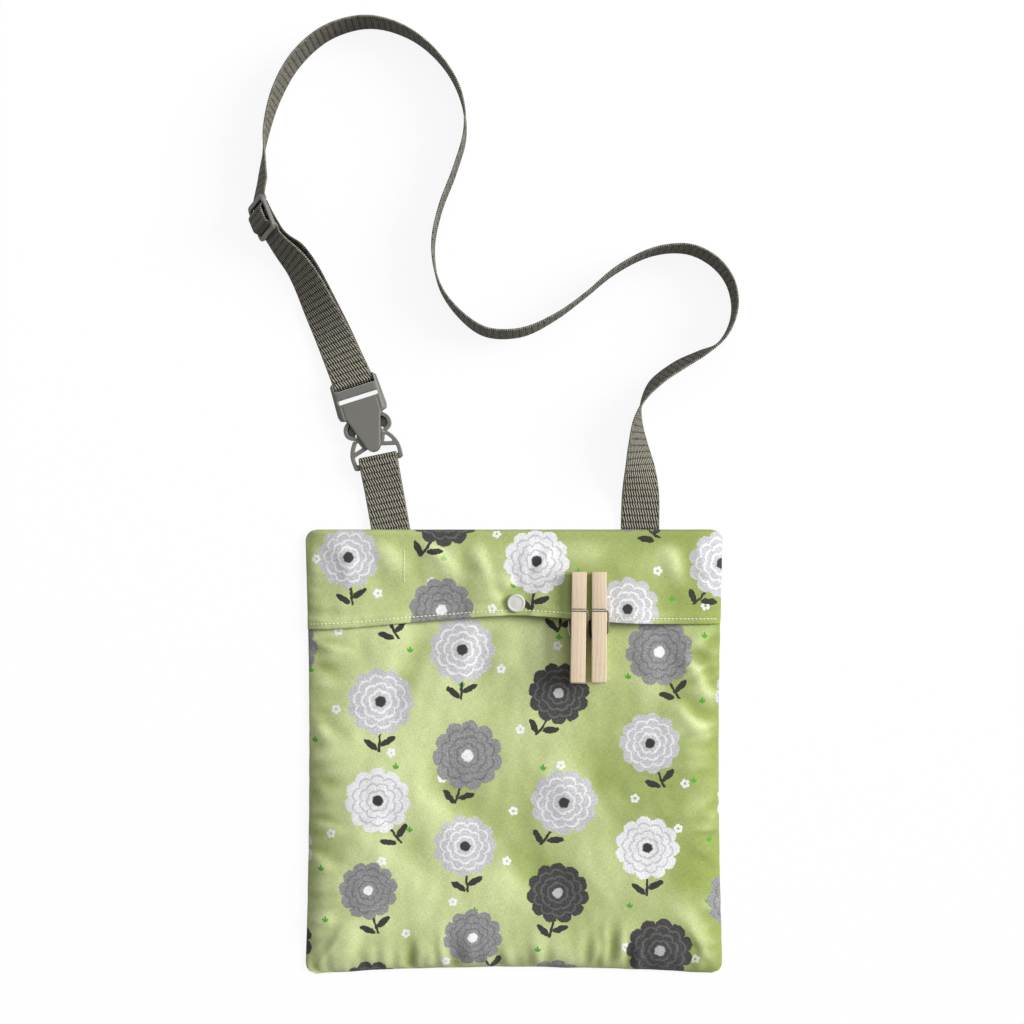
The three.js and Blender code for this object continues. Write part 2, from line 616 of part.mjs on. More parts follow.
function stubWebbing() {
  const reach = (loopBar.y - (TOP - TAIL_LENGTH)) / Math.cos(stubTurn);
  const inner = LOOP_BAR_RADIUS + WRAP_GAP;
  const outer = inner + WEBBING_THICKNESS;
  const near = reach - STUB_SKEW;
  const far = reach + STUB_SKEW;
  const parting = near - STUB_PARTING;
  const eyeStart = near - STUB_EYE;
  const shape = new THREE.Shape();
  shape.moveTo(0, RIM_LOW);
  shape.lineTo(far, RIM_LOW);
  shape.absarc(far, LOOP_BAR_Z, outer, -Math.PI / 2, Math.PI / 2);
  shape.lineTo(near, LOOP_BAR_Z + outer);
  shape.quadraticCurveTo(near - STUB_ROUND, LOOP_BAR_Z + outer, parting, STUB_TOP);
  shape.lineTo(0, STUB_TOP);
  const eye = new THREE.Path();
  eye.moveTo(eyeStart, RIM_LOW + WEBBING_THICKNESS);
  eye.lineTo(far, RIM_LOW + WEBBING_THICKNESS);
  eye.absarc(far, LOOP_BAR_Z, inner, -Math.PI / 2, Math.PI / 2);
  eye.lineTo(near, LOOP_BAR_Z + inner);
  eye.quadraticCurveTo(near - STUB_ROUND, LOOP_BAR_Z + inner, eyeStart, RIM_LOW + WEBBING_THICKNESS);
  shape.holes.push(eye);
  const geometry = plate(shape, -WEBBING_WIDTH / 2, WEBBING_WIDTH / 2, 8);
  geometry.translate(-reach, 0, 0).rotateX(Math.PI / 2).rotateZ(Math.PI / 2 + stubTurn);
  return geometry.translate(loopBar.x, loopBar.y, 0);
}

const BUCKLE_LOW = LOOP_BAR_Z - BUCKLE_THICKNESS / 2;
const END_BAR_AT = END_BAR / 2;

// Runs down from the slider under the end bar, round it, and back up on top, as one strip.
function strapReturn() {
  const line = stations(RETURN_ROUTE, RETURN_STEPS);
  const up = new THREE.Vector3(0, 0, 1);
  const endBar = new THREE.Vector3(0, -END_BAR_AT, LOOP_BAR_Z).applyAxisAngle(up, buckleTurn);
  endBar.add(new THREE.Vector3(BUCKLE_X, BUCKLE_Y, 0));
  const towards = new THREE.Vector3(Math.sin(buckleTurn), -Math.cos(buckleTurn), 0);
  const across = new THREE.Vector3(Math.cos(buckleTurn), Math.sin(buckleTurn), 0);
  const wrap = Math.hypot(END_BAR, END_BAR_THICKNESS) / 2 + WRAP_GAP + WEBBING_THICKNESS / 2;
  const half = (LAYER_GAP + WEBBING_THICKNESS) / 2;
  const outward = (s) => s.face.clone().multiplyScalar(s.face.z < 0 ? -1 : 1);
  const layer = (s, sign) => {
    const centre = s.centre.clone().addScaledVector(up, half);
    centre.addScaledVector(outward(s), sign * half);
    return webbingRing(centre, s.across, outward(s));
  };
  const start = -SLIDER_LENGTH / 2 - THREAD_REACH - WRAP_GAP;
  const head = [start, start - RETURN_HEAD].map((y) => [0, 2 * half].map((lift) => {
    const s = inSlider(y, lift - THREAD_LIFT, 0);
    return webbingRing(s.centre, s.across, outward(s));
  }));
  const down = [...head.map((pair) => pair[0]), ...line.map((s) => layer(s, -1))];
  const back = [...[...line].reverse().map((s) => layer(s, 1)), ...head.map((pair) => pair[1]).reverse()];
  const bend = steps(BEND_STEPS).map((t) => {
    const angle = -Math.PI / 2 + t * Math.PI;
    const out = towards.clone().multiplyScalar(Math.cos(angle)).addScaledVector(up, Math.sin(angle));
    return webbingRing(endBar.clone().addScaledVector(out, wrap), across, out);
  });
  const flip = (ring) => [ring[3], ring[2], ring[1], ring[0]];
  return loft([...down.map(flip), ...bend, ...back]);
}

add('stub_webbing', stubWebbing(), COLOURS.webbing);
add('strap_main', strapMain(), COLOURS.webbing);
add('strap_return', strapReturn(), COLOURS.webbing);

// Side-release buckle, drawn with its strap end at y = 0 and its loop towards -y

const buckle = new THREE.Group();
buckle.position.set(BUCKLE_X, BUCKLE_Y, BUCKLE_LOW);
buckle.rotation.z = buckleTurn;
bag.add(buckle);

const mirrored = (points) => [...points, ...[...points].reverse().map(([x, y]) => [-x, y])];
const MID = BUCKLE_THICKNESS / 2;

function buckleFemale() {
  const half = BUCKLE_WIDTH / 2;
  const slotHalf = WEBBING_WIDTH / 2 + SLOT_ROOM;
  const body = outline(mirrored([
    [half - BUCKLE_CORNER, 0], [half, -BUCKLE_CORNER], [half + SIDE_FLARE, -WINDOW_START + FLARE_SET],
    [half, -WINDOW_START], [TONGUE_SHOULDER + SHOULDER_STEP, -WINDOW_START - SHOULDER_DROP],
    [TONGUE_SHOULDER, -TONGUE_START], [TONGUE_TIP + TONGUE_FILLET, -BUCKLE_LENGTH + TONGUE_END_RUN],
    [TONGUE_END_HALF, -BUCKLE_LENGTH + TONGUE_END_DROP], [TONGUE_NOSE, -BUCKLE_LENGTH],
  ]));
  const inside = half - BUCKLE_WALL;
  const low = BUCKLE_WALL;
  const high = BUCKLE_THICKNESS - BUCKLE_WALL;
  const cavity = outline(mirrored([
    [inside, -CAVITY_START], [inside, -LIP_START], [LIP_HALF_WIDTH, -LIP_START - LIP_SLOPE],
    [LIP_HALF_WIDTH, -WINDOW_START], [BUCKLE_WIDTH, -WINDOW_START],
    [BUCKLE_WIDTH, -BUCKLE_LENGTH - CUT_PAST],
  ]));
  const barHalf = END_BAR_THICKNESS / 2;
  const floor = -CUT_PAST;
  const roof = BUCKLE_THICKNESS + CUT_PAST;
  const slot = (from, to) =>
    plate(roundedRectangle(-slotHalf, -to, slotHalf, -from, SLOT_CORNER), floor, roof, 3);
  const well = roundedRectangle(-slotHalf, -END_BAR - CUT_PAST, slotHalf, WELL_REACH, WELL_CORNER);
  const under = plate(well, floor, MID - barHalf, 2);
  const over = plate(well, MID + barHalf, roof, 2);
  return cut(
    plate(body, 0, BUCKLE_THICKNESS), slot(END_BAR, FIRST_SLOT_END),
    slot(SECOND_SLOT_START, SECOND_SLOT_END), plate(cavity, low, high), under, over,
  );
}

// A curved rail of even width along a list of points in the buckle's plane.
function rail(points, width, low, high, count = 10) {
  const curve = new THREE.SplineCurve(points.map(([x, y]) => new THREE.Vector2(x, y)));
  const sides = [1, -1].map((sign) => steps(count).map((t) => {
    const at = curve.getPoint(t);
    const along = curve.getTangent(t);
    return [at.x - (along.y * sign * width) / 2, at.y + (along.x * sign * width) / 2];
  }));
  return plate(outline([...sides[0], ...sides[1].reverse()]), low, high);
}

function buckleMale() {
  const low = MID - LOOP_THICKNESS / 2;
  const high = MID + LOOP_THICKNESS / 2;
  const out = LOOP_WIDTH / 2 - LOOP_RING / 2;
  const foot = LOOP_BAR_AT;
  const sides = [1, -1].map((sign) => rail([
    [sign * YOKE_HALF, -LOOP_START], [sign * (out - LOOP_SHOULDER), -LOOP_START - LOOP_SHOULDER_DROP],
    [sign * out, -ARCH_FOOT], [sign * out, -foot + LOOP_FOOT_RISE],
    [sign * (out - LOOP_FOOT_IN), -foot - LOOP_FOOT_DROP],
  ], LOOP_RING, low, high));
  const struts = [1, -1].map((sign) => rail([
    [sign * STRUT_HALF[0], -LOOP_START + STRUT_SET], [sign * STRUT_HALF[1], -STRUT_MIDDLE],
    [sign * STRUT_HALF[2], -ARCH_TOP - ARCH_STRUT],
  ], STRUT_WIDTH, low, high, 5));
  const arch = rail([
    [-out, -ARCH_FOOT], [-ARCH_HALF, -ARCH_TOP - ARCH_FALL], [0, -ARCH_TOP],
    [ARCH_HALF, -ARCH_TOP - ARCH_FALL], [out, -ARCH_FOOT],
  ], LOOP_RING, low, high, 14);
  const bar = new THREE.CylinderGeometry(LOOP_BAR_RADIUS, LOOP_BAR_RADIUS, 2 * out, 12);
  bar.rotateZ(Math.PI / 2).translate(0, -foot, MID);
  const guide = plate(roundedRectangle(
    -GUIDE_HALF_WIDTH, -ARCH_TOP - GUIDE_SET, GUIDE_HALF_WIDTH, -CAVITY_START - GUIDE_TIP, SLOT_CORNER,
  ), low, high, 3);
  const yokeAt = -LOOP_START + YOKE_SET;
  const yoke = rail([
    [-YOKE_HALF, yokeAt], [0, yokeAt + YOKE_RISE], [YOKE_HALF, yokeAt],
  ], YOKE_WIDTH, low, high, 8);
  const rooms = [1, -1].map((sign) => pin(
    PRONG_THICKNESS / 2 + BUCKLE_CLEARANCE, sign * PRONG_ROOT_X, -LOOP_START + PRONG_ROOT_SET,
    -CUT_PAST, BUCKLE_THICKNESS, 14,
  ));
  return cut(join(...sides, ...struts, arch, bar, guide, yoke), ...rooms);
}

// One springy arm: a round root on the frame, a bowed press pad, and a barbed tip behind the lip.
function buckleProng(sign) {
  const half = PRONG_THICKNESS / 2;
  const low = BUCKLE_WALL + BUCKLE_CLEARANCE;
  const high = BUCKLE_THICKNESS - low;
  const neck = LIP_HALF_WIDTH - BUCKLE_CLEARANCE - half;
  const rootAt = -LOOP_START + PRONG_ROOT_SET;
  const bow = PRONG_BOW_X - half;
  const arm = rail([
    [sign * PRONG_ROOT_X, rootAt],
    [sign * (PRONG_BOW_X - PRONG_SHOULDER_IN), -LOOP_START + PRONG_SHOULDER_SET], [sign * bow, -PRONG_BOW_AT], [sign * (bow - PRONG_WAIST_IN), -PRONG_WAIST_AT],
    [sign * neck, -WINDOW_START - PRONG_NECK_SET], [sign * (neck - PRONG_TAPER), -LIP_START],
    [sign * (neck - 2 * PRONG_TAPER), -PRONG_TIP],
  ], PRONG_THICKNESS, low, high, 18);
  const root = pin(half, sign * PRONG_ROOT_X, rootAt, low, high, 14);
  const edge = neck + half;
  const catchAt = -LIP_START + BUCKLE_CLEARANCE;
  const barb = plate(outline([
    [sign * (edge - BARB_ROOT), catchAt], [sign * (edge + BARB), catchAt],
    [sign * (edge - BARB_TIP), -PRONG_TIP], [sign * (edge - BARB_ROOT), -PRONG_TIP],
  ]), low, high);
  return join(arm, root, barb);
}

add('buckle_female', buckleFemale(), COLOURS.moulding, buckle);
add('buckle_male', buckleMale(), COLOURS.moulding, buckle);
add('buckle_prong_left', buckleProng(-1), COLOURS.moulding, buckle);
add('buckle_prong_right', buckleProng(1), COLOURS.moulding, buckle);

// Slider: an oblong frame with a centre bar

function triGlide() {
  const halfWide = SLIDER_WIDTH / 2;
  const halfLong = SLIDER_LENGTH / 2;
  const frame = roundedRectangle(-halfWide, -halfLong, halfWide, halfLong, SLIDER_CORNER);
  for (const sign of [1, -1]) {
    const near = sign * (SLIDER_BAR / 2);
    const far = sign * (halfLong - SLIDER_END);
    const slot = roundedRectangle(
      -halfWide + SLIDER_SIDE, Math.min(near, far), halfWide - SLIDER_SIDE, Math.max(near, far),
      SLIDER_SLOT_CORNER,
    );
    frame.holes.push(new THREE.Path(slot.getPoints(3)));
  }
  return plate(frame, -SLIDER_THICKNESS / 2, SLIDER_THICKNESS / 2, 4);
}

add('tri_glide', triGlide(), COLOURS.moulding, slider);

// Pegs, drawn round the coil's centre with the jaws towards +y

const GRIP = HEM_THICKNESS / 2 + GRIP_GAP;
const COIL_OUTER = COIL_RADIUS + WIRE / 2;

function pegLeg() {
  const tip = PEG_COIL_AT;
  const end = PEG_COIL_AT - PEG_LENGTH;
  const face = GRIP + PEG_LEG;
  const groove = PEG_COIL_AT - PEG_GROOVE_AT;
  const line = PEG_COIL_AT - PEG_LINE_NOTCH_AT;
  const seat = COIL_OUTER + WIRE_CLEARANCE;
  const seatHalf = Math.sqrt(seat ** 2 - GRIP ** 2);
  const seatAngle = Math.asin(GRIP / seat);
  const notch = WIRE / 2 + WIRE_CLEARANCE;
  const shape = new THREE.Shape();
  shape.moveTo(tip - PEG_JAW_LIP, GRIP);
  shape.lineTo(tip, GRIP + PEG_JAW_OPEN).lineTo(tip, face - PEG_EASE).lineTo(tip - PEG_EASE, face);
  shape.lineTo(groove + notch, face).lineTo(groove + notch, face - WIRE);
  shape.lineTo(groove - notch, face - WIRE).lineTo(groove - notch, face);
  shape.lineTo(end + PEG_EASE, face).lineTo(end, face - PEG_EASE).lineTo(end, face - PEG_HANDLE_LEG);
  shape.lineTo(-seatHalf - PEG_JAW_LIP, GRIP);
  shape.lineTo(-seatHalf, GRIP);
  shape.absarc(0, 0, seat, Math.PI - seatAngle, seatAngle, true);
  shape.lineTo(line - PEG_LINE_NOTCH_RADIUS, GRIP);
  shape.absarc(line, GRIP, PEG_LINE_NOTCH_RADIUS, Math.PI, 0, true);
  const geometry = plate(shape, -PEG_WIDTH / 2, PEG_WIDTH / 2, 9);
  const basis = new THREE.Matrix4().makeBasis(
    new THREE.Vector3(0, 1, 0), new THREE.Vector3(0, 0, 1), new THREE.Vector3(1, 0, 0),
  );
  return geometry.applyMatrix4(basis);
}

// The wire: a coil between the legs, and an arm from each end that crosses a leg in its groove.
function springPoints() {
  const half = (COIL_TURNS * COIL_PITCH) / 2;
  const arm = PEG_WIDTH / 2 + WIRE / 2 + WIRE_CLEARANCE;
  const groove = PEG_COIL_AT - PEG_GROOVE_AT;
  const rest = GRIP + PEG_LEG - WIRE / 2;
  const coil = steps(COIL_TURNS * COIL_TURN_STEPS).map((t) => {
    const angle = t * COIL_TURNS * 2 * Math.PI;
    return new THREE.Vector3(
      -half + 2 * half * t, -COIL_RADIUS * Math.sin(angle), -COIL_RADIUS * Math.cos(angle),
    );
  });
  const upperArm = (side, up) => [
    [arm, ARM_START, COIL_RADIUS + ARM_LIFT], [arm + ARM_BOW, groove / 2, (COIL_RADIUS + rest) / 2],
    [arm, groove - ARM_BEND, rest - ARM_DIP], [arm - ARM_DIP, groove - WIRE_CLEARANCE, rest],
    [arm - WIRE, groove, rest], [0, groove, rest], [-PEG_WIDTH / 2 + ARM_END, groove, rest],
  ].map(([x, y, z]) => new THREE.Vector3(side * x, y, up * z));
  return [...upperArm(-1, -1).reverse(), ...coil, ...upperArm(1, 1)];
}

function tube(points, radius, sides) {
  const along = points.map((p, i) => {
    const before = points[Math.max(i - 1, 0)];
    const after = points[Math.min(i + 1, points.length - 1)];
    return after.clone().sub(before).normalize();
  });
  let normal = new THREE.Vector3(0, 0, 1);
  const rings = points.map((p, i) => {
    normal = normal.clone().addScaledVector(along[i], -normal.dot(along[i])).normalize();
    const binormal = along[i].clone().cross(normal);
    return steps(sides).slice(1).map((t) => {
      const a = t * 2 * Math.PI;
      const out = normal.clone().multiplyScalar(Math.cos(a)).addScaledVector(binormal, Math.sin(a));
      return p.clone().addScaledVector(out, radius);
    });
  });
  return loft(rings);
}

// The least gap between stretches of the wire that lie more than three quarters of a turn apart.
function leastSelfGap(points) {
  let least = Infinity;
  for (let i = 0; i < points.length; i += 1) {
    for (let j = i + 6; j < points.length; j += 1) {
      least = Math.min(least, points[i].distanceTo(points[j]) - WIRE);
    }
  }
  return least;
}

const pegMiddle = flapUnder(PEGS_X, hemY(PEGS_X)) + HEM_THICKNESS / 2;
for (const [side, place] of Object.entries(PEG_PLACES)) {
  const peg = new THREE.Group();
  peg.position.set(place.x, TOP - PEG_JAW_DROP - PEG_COIL_AT, pegMiddle);
  peg.rotation.z = THREE.MathUtils.degToRad(place.turn);
  bag.add(peg);
  add(`peg_${side}_upper_leg`, pegLeg(), COLOURS.wood, peg);
  add(`peg_${side}_lower_leg`, pegLeg().rotateY(Math.PI), COLOURS.wood, peg);
  add(`peg_${side}_spring`, tube(springPoints(), WIRE / 2, 5), COLOURS.wire, peg);
}
console.log(`least gap of a spring's wire to itself: ${leastSelfGap(springPoints()).toFixed(2)} mm`);

export default bag;
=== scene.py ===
import json
import math
from contextlib import contextmanager

import bmesh
import bpy
from bpy.props import FloatProperty, FloatVectorProperty, IntProperty, PointerProperty
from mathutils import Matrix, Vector, noise

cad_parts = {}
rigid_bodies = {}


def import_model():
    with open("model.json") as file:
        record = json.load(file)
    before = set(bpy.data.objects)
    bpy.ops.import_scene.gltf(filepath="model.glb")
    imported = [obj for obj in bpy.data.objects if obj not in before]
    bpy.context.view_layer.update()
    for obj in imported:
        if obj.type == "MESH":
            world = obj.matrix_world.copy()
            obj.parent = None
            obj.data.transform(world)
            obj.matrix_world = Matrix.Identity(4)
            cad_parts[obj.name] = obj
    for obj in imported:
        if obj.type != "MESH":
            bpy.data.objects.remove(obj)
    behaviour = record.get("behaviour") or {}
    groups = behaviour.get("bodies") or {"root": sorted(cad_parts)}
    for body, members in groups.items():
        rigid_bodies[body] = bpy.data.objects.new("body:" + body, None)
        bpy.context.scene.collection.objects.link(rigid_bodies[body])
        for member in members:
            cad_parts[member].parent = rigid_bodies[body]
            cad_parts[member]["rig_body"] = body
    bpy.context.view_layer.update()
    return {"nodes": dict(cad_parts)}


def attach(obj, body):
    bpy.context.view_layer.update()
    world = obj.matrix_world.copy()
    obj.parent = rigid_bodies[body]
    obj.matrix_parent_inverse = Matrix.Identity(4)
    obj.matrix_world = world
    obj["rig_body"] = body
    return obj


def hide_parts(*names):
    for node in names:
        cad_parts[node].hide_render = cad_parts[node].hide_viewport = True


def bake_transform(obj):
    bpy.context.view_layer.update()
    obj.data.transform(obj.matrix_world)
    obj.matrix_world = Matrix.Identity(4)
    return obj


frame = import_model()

bl_info = {
    "name": "Peg Bag",
    "version": (1, 0, 0),
    "blender": (4, 5, 0),
    "location": "View3D > Sidebar > Peg Bag",
    "description": "Dresses a cloth peg bag, its webbing strap, buckle and wooden pegs",
    "category": "Object",
}

MM = 0.001

# The bag's cloth, in millimetres, close to the packed solids
BAG_WIDTH = 271
TOP = 144
SIDE_HOLLOW = 2.6
BOTTOM_HOLLOW = 4
CORNER_RADIUS = 7.5
BACK_THICKNESS = 1
CLOTH = 1.2
RIM_LOW = 1.3
UPPER_HEIGHT = 9
CROWN_HEIGHT = 13.5
CROWN_START = 38
CROWN_FULL = -25
EDGE_PUFF = 10
MOUTH_Y = 118
MOUTH_DEPTH = 26
FLAP_DEPTH = 61
HEM_RISE = 6
HEM_RISE_SPREAD = 55
HEM_LEFT_DROP = 3.6
HEM_THICKNESS = 1.8
HEM_DEPTH = 8
FOLD_RADIUS = 3.1
FOLD_Y = 140.9
FOLD_Z = 7.5
FOLD_END_HEIGHT = 3.2
ROLL_SHARE = 0.2
FLAP_GAP = 0.5
FLAP_SIDE_RUN = 20
STITCH_INSET = 3.4
STITCH_LIFT = 0.12
GROOVE_DEPTH, GROOVE_REACH = 0.35, 0.9
TACK_X = -70.9
TACK_RUN = (131, 109, -1)
SNAP_X, SNAP_Y = 1.3, 97
SNAP_FLAT, SNAP_SPREAD, SNAP_STACK = 15, 18, 4.3
PEGS_X = 47.6
PEGS_Y = 82
PEG_FLAT, PEG_SPREAD, PEG_STACK = 20, 24, 7.4

# Where the flap rises over a webbing at its fold, in millimetres: its middle, the half widths that the
# rise starts and ends at, and its height
FLAP_OPENINGS = ((-79.4, 12.8, 14.2, 3.2), (81.8, 12.6, 14, 2))

# The flap is cut between the pegs: each part's ends, as shares of half its width, and two places
# across it in millimetres, at its sewn end and in the middle, which nothing uses
FLAP_CUT = PEGS_X / (BAG_WIDTH / 2)
FLAP_PARTS = {"left": (-1.0, FLAP_CUT, -132, -30), "right": (FLAP_CUT, 1.0, 132, 74)}

# The flat sizes of the cloth in metres, with their seam allowances
PANEL_LENGTHS = {"front_panel": 0.275, "back_panel": 0.3}
FLAP_ALLOWANCE = 0.004

# How far the print lies from the front panel's on the back and on the flap, in millimetres
BACK_PRINT_SHIFT = (31, 19)
FLAP_PRINT_SHIFT = (17, 41)

# Painted light and shade on the cloth's ground: its level in the middle, painted shade that grows to
# the right and along its side seams, painted shade in the relief's hollows and painted light on its
# crests, and on the flap painted light on its waves with painted shade over all of it
PAINTED_LIGHT_ATTRIBUTE = "crest"
PAINTED_LIGHT_MIDDLE = 0.63
PAINTED_SHADE_ACROSS = 700
PAINTED_SHADE_RIGHT = 0.1
PAINTED_SHADE_SEAM_LEFT, PAINTED_SHADE_SEAM_RIGHT, PAINTED_SHADE_SEAM_REACH = 0.14, 0.45, 9
PAINTED_SHADE_RELIEF = 3.6
FLAP_PAINTED_LIGHT, FLAP_PAINTED_SHADE = 1.2, 1.0
# Painted light levels: the plain one for the back panel and most of the webbing, and a darker painted
# shadow for webbing that stands in shade
LIT, PAINTED_SHADOW_LEVEL = 0.5, 0.1

# Webbing, buckle and slider, in millimetres and degrees, close to the packed solids
WEBBING_WIDTH = 25
WEBBING_THICKNESS = 1.4
WRAP_GAP = 0.3
TAIL_Y = 111
STUB_LEAN = math.radians(10)
STUB_PARTING = 22
FOLD_SKEW = math.radians(1.5)
BUCKLE_TURN = math.radians(17.6)
BUCKLE_AT = Vector((-104.7, 241.7, 0))
BUCKLE_ACROSS = Vector((math.cos(BUCKLE_TURN), math.sin(BUCKLE_TURN), 0))
BUCKLE_DOWN = Vector((math.sin(BUCKLE_TURN), -math.cos(BUCKLE_TURN), 0))
UP = Vector((0, 0, 1))
BUCKLE_WIDTH = 31
BUCKLE_LENGTH = 49.6
BUCKLE_THICKNESS = 9
BODY_LENGTH = 25.2
BODY_ROUND = (3.6, 2.4)
PLATE_START = 15.4
PLATE_LINE_DEPTH = 0.45
TONGUE_HALF = 12
TONGUE_TIP = 4
TONGUE_ROUND = (1.7, 1.1)
LOOP_BAR_AT = 56.5
LOOP_BAR_RADIUS = 1.9
LOOP_BAR_Z = 4.9
WEB_X, WEB_Y, WEB_Z = 10.9, 32.2, 3.1
WEB_HALF_WIDTH, WEB_HALF_LENGTH = 3, 4.2
END_BAR = 3
END_BAR_THICKNESS = 3.4
LAYER_GAP = 0.9
LAYER_SLIP = 2.2
SQUEEZED = 1.06
SLIDER_AT = Vector((-161.7, 343.9, 14.8))
SLIDER_TURN = math.radians(22)
SLIDER_TILT = math.radians(64)
SLIDER_LENGTH = 24
SLIDER_END = 3
THREAD_LIFT = 2.5
THREAD_BULGE = 3.4
BEHIND_SLIDER = ((7, 2.2), (3, 2.2), (0, 2.2), (-3, 2.6), (-6, 3.6), (-9, 4.2), (-11.5, 4.6))
THREAD_REACH = 1.4
THREAD_SLACK = 0.2
THREAD_EASE = 4.6

# The moulded nodes and the pieces that stand for them
MOULDINGS = {
    "buckle_female": "buckle_socket_moulding",
    "buckle_male": "buckle_plug_moulding",
    "buckle_prong_left": "buckle_arm_left",
    "buckle_prong_right": "buckle_arm_right",
    "tri_glide": "slider_moulding",
}
# The attribute for painted shade in the mouldings' hollows and a painted highlight on their rims
PAINTED_CAVITY_LIGHT = "raised"

# What the camera sees of the floor: its own colour there, and the share that glows
FLOOR_WHITE = (0.94, 0.94, 0.94)
FLOOR_GLOW = 0.9
CAMERA_X = -0.0013

# The strap's route: x, y, the height of its lowest edge, and its lean, where 180 lies flat
STRAP_ROUTE = [
    (81.8, 111, 1.3, 180), (81.8, 128, 1.3, 180), (81.8, 146, 1.2, 180), (82, 164, 0.5, 172),
    (81.5, 182, 0.3, 146), (80, 198, 0.3, 124), (79.6, 213.5, 0.3, 106), (82.6, 226, 0.3, 90),
    (91, 238.6, 0.3, 76), (106, 249.6, 0.3, 74), (121.3, 257.8, 0.3, 80), (132.5, 264.5, 0.3, 90),
    (139.5, 275.5, 0.3, 90), (142, 289.5, 0.3, 89), (138.3, 304.5, 0.3, 87), (128, 316.8, 0.3, 86),
    (112, 324.3, 0.3, 86), (89.5, 322.6, 0.3, 87), (65.8, 311, 0.3, 88), (45.8, 294.6, 0.3, 90),
    (25.5, 280, 0.3, 88), (4, 270.6, 0.3, 84), (-18.5, 271.2, 0.3, 83), (-36, 283.6, 0.3, 86),
    (-48, 301.2, 0.3, 89), (-52, 325, 0.3, 90), (-47.5, 350, 0.3, 90), (-38, 375, 0.3, 90),
    (-31.4, 400, 0.3, 90), (-34.4, 424, 0.3, 89), (-47.2, 446, 0.3, 91), (-67.5, 463, 0.3, 90),
    (-93.5, 470.3, 0.3, 88), (-119.8, 463.5, 0.3, 86), (-140, 446.3, 0.3, 84),
    (-153, 423.2, 0.3, 86), (-159.6, 399, 0.3, 93), (-161.2, 381, 0.3, 103.5), (-162, 367, 0.3, 112),
]
RETURN_ROUTE = [
    (-145.6, 322.5, 0.4, 124), (-138.7, 314.2, 0.4, 131), (-132.3, 303.2, 0.4, 139),
    (-125.2, 288, 0.5, 149), (-117.4, 271, 0.8, 160), (-110.4, 254, 1.2, 176),
]
STRAP_STATIONS = 420
RETURN_STATIONS = 44
THREAD_STATIONS = 40
STRIP_COLUMNS = 12


def linear(red, green, blue):
    """A colour written in 0 to 255 screen values, as linear light."""

    def channel(value):
        share = value / 255
        return share / 12.92 if share <= 0.04045 else ((share + 0.055) / 1.055) ** 2.4

    return channel(red), channel(green), channel(blue)


def colour_property(name, description, red, green, blue):
    return FloatVectorProperty(
        name=name, description=description, subtype="COLOR", size=3, min=0, max=1,
        default=linear(red, green, blue),
    )


def length_property(name, description, default):
    return FloatProperty(name=name, description=description, default=default, unit="LENGTH", min=0)


class BagClothLook(bpy.types.PropertyGroup):
    """Colours and scale of the printed cotton."""

    # The ground is the cloth's own colour, seen on its crests; the second, darker ground colour is
    # painted shade, in its hollows, towards the right and along the side seams
    ground: colour_property("Ground", "The cloth between the motifs, on its crests", 205, 216, 158)
    painted_shade_ground: colour_property("Deep ground", "The cloth between the motifs, in its hollows", 150, 166, 90)
    white: colour_property("White", "The palest flower heads and the blossoms", 238, 238, 240)
    pale_grey: colour_property("Pale grey", "The second flower heads", 188, 188, 190)
    grey: colour_property("Grey", "The ringed flower heads", 128, 128, 128)
    charcoal: colour_property("Charcoal", "The darkest flower heads, stalks and eyes", 58, 56, 55)
    sprig: colour_property("Sprig", "The small tufts of leaves", 92, 168, 52)
    thread: colour_property("Thread", "The sewing thread", 234, 240, 200)
    motif_across: length_property("Motif spacing across", "Between columns of flower heads", 0.06)
    motif_up: length_property("Motif spacing up", "Between flower heads in a column", 0.065)
    weave: length_property("Weave", "Between neighbouring threads", 0.0005)
    wrinkle: length_property("Wrinkles", "Height of the cloth's soft waves", 0.0017)
    pucker: length_property("Puckers", "Height of the gathers along the seams", 0.0014)
    stitch: length_property("Stitch", "From one stitch to the next", 0.0026)


class WebbingLook(bpy.types.PropertyGroup):
    """Colours and scale of the strap's weave."""

    pale: colour_property("Raised yarn", "The yarn's lit dashes", 163, 160, 146)
    dark: colour_property("Gaps", "Between the dashes", 27, 19, 5)
    columns: IntProperty(name="Columns", description="Dashes across the width", default=15, min=3)
    row: length_property("Row", "From one row of dashes to the next", 0.0042)
    slant: FloatProperty(name="Slant", description="Columns that a dash crosses", default=0.8)


class HardPartsLook(bpy.types.PropertyGroup):
    """Colours and edges of the moulded, wooden and wire pieces."""

    moulding: colour_property("Moulding", "Buckle and slider", 103, 102, 96)
    snap: colour_property("Fastener", "Press fastener", 206, 205, 198)
    wood: colour_property("Wood", "Pegs", 229, 211, 185)
    grain: colour_property("Grain", "The pegs' darker growth lines", 210, 180, 146)
    wire: colour_property("Wire", "The pegs' springs", 128, 124, 116)
    skin: length_property("Moulded skin", "Fineness of the mouldings' skin", 0.0003)
    peg_edge: length_property("Peg edges", "Roundness of the sanded edges", 0.0004)


class BagStageLook(bpy.types.PropertyGroup):
    """Camera, light and floor."""

    camera_height: length_property("Camera height", "Above the floor", 1.06)
    camera_y: length_property("Camera place", "Along the bag, from its middle", 0.15535)
    lens: FloatProperty(
        name="Lens", description="Focal length in millimetres", default=57.3, min=10,
        subtype="DISTANCE_CAMERA",
    )
    key: FloatProperty(name="Key", description="Strength of the low sun at the right", default=3.6)
    fill: FloatProperty(
        name="Fill", description="Power of the large lamp at the top", default=11, unit="POWER",
    )
    sky: FloatProperty(name="Sky", description="Strength of the even light all round", default=0.24)
    floor: colour_property("Floor", "The surface that the bag lies on", 115, 115, 115)


# Shader expressions


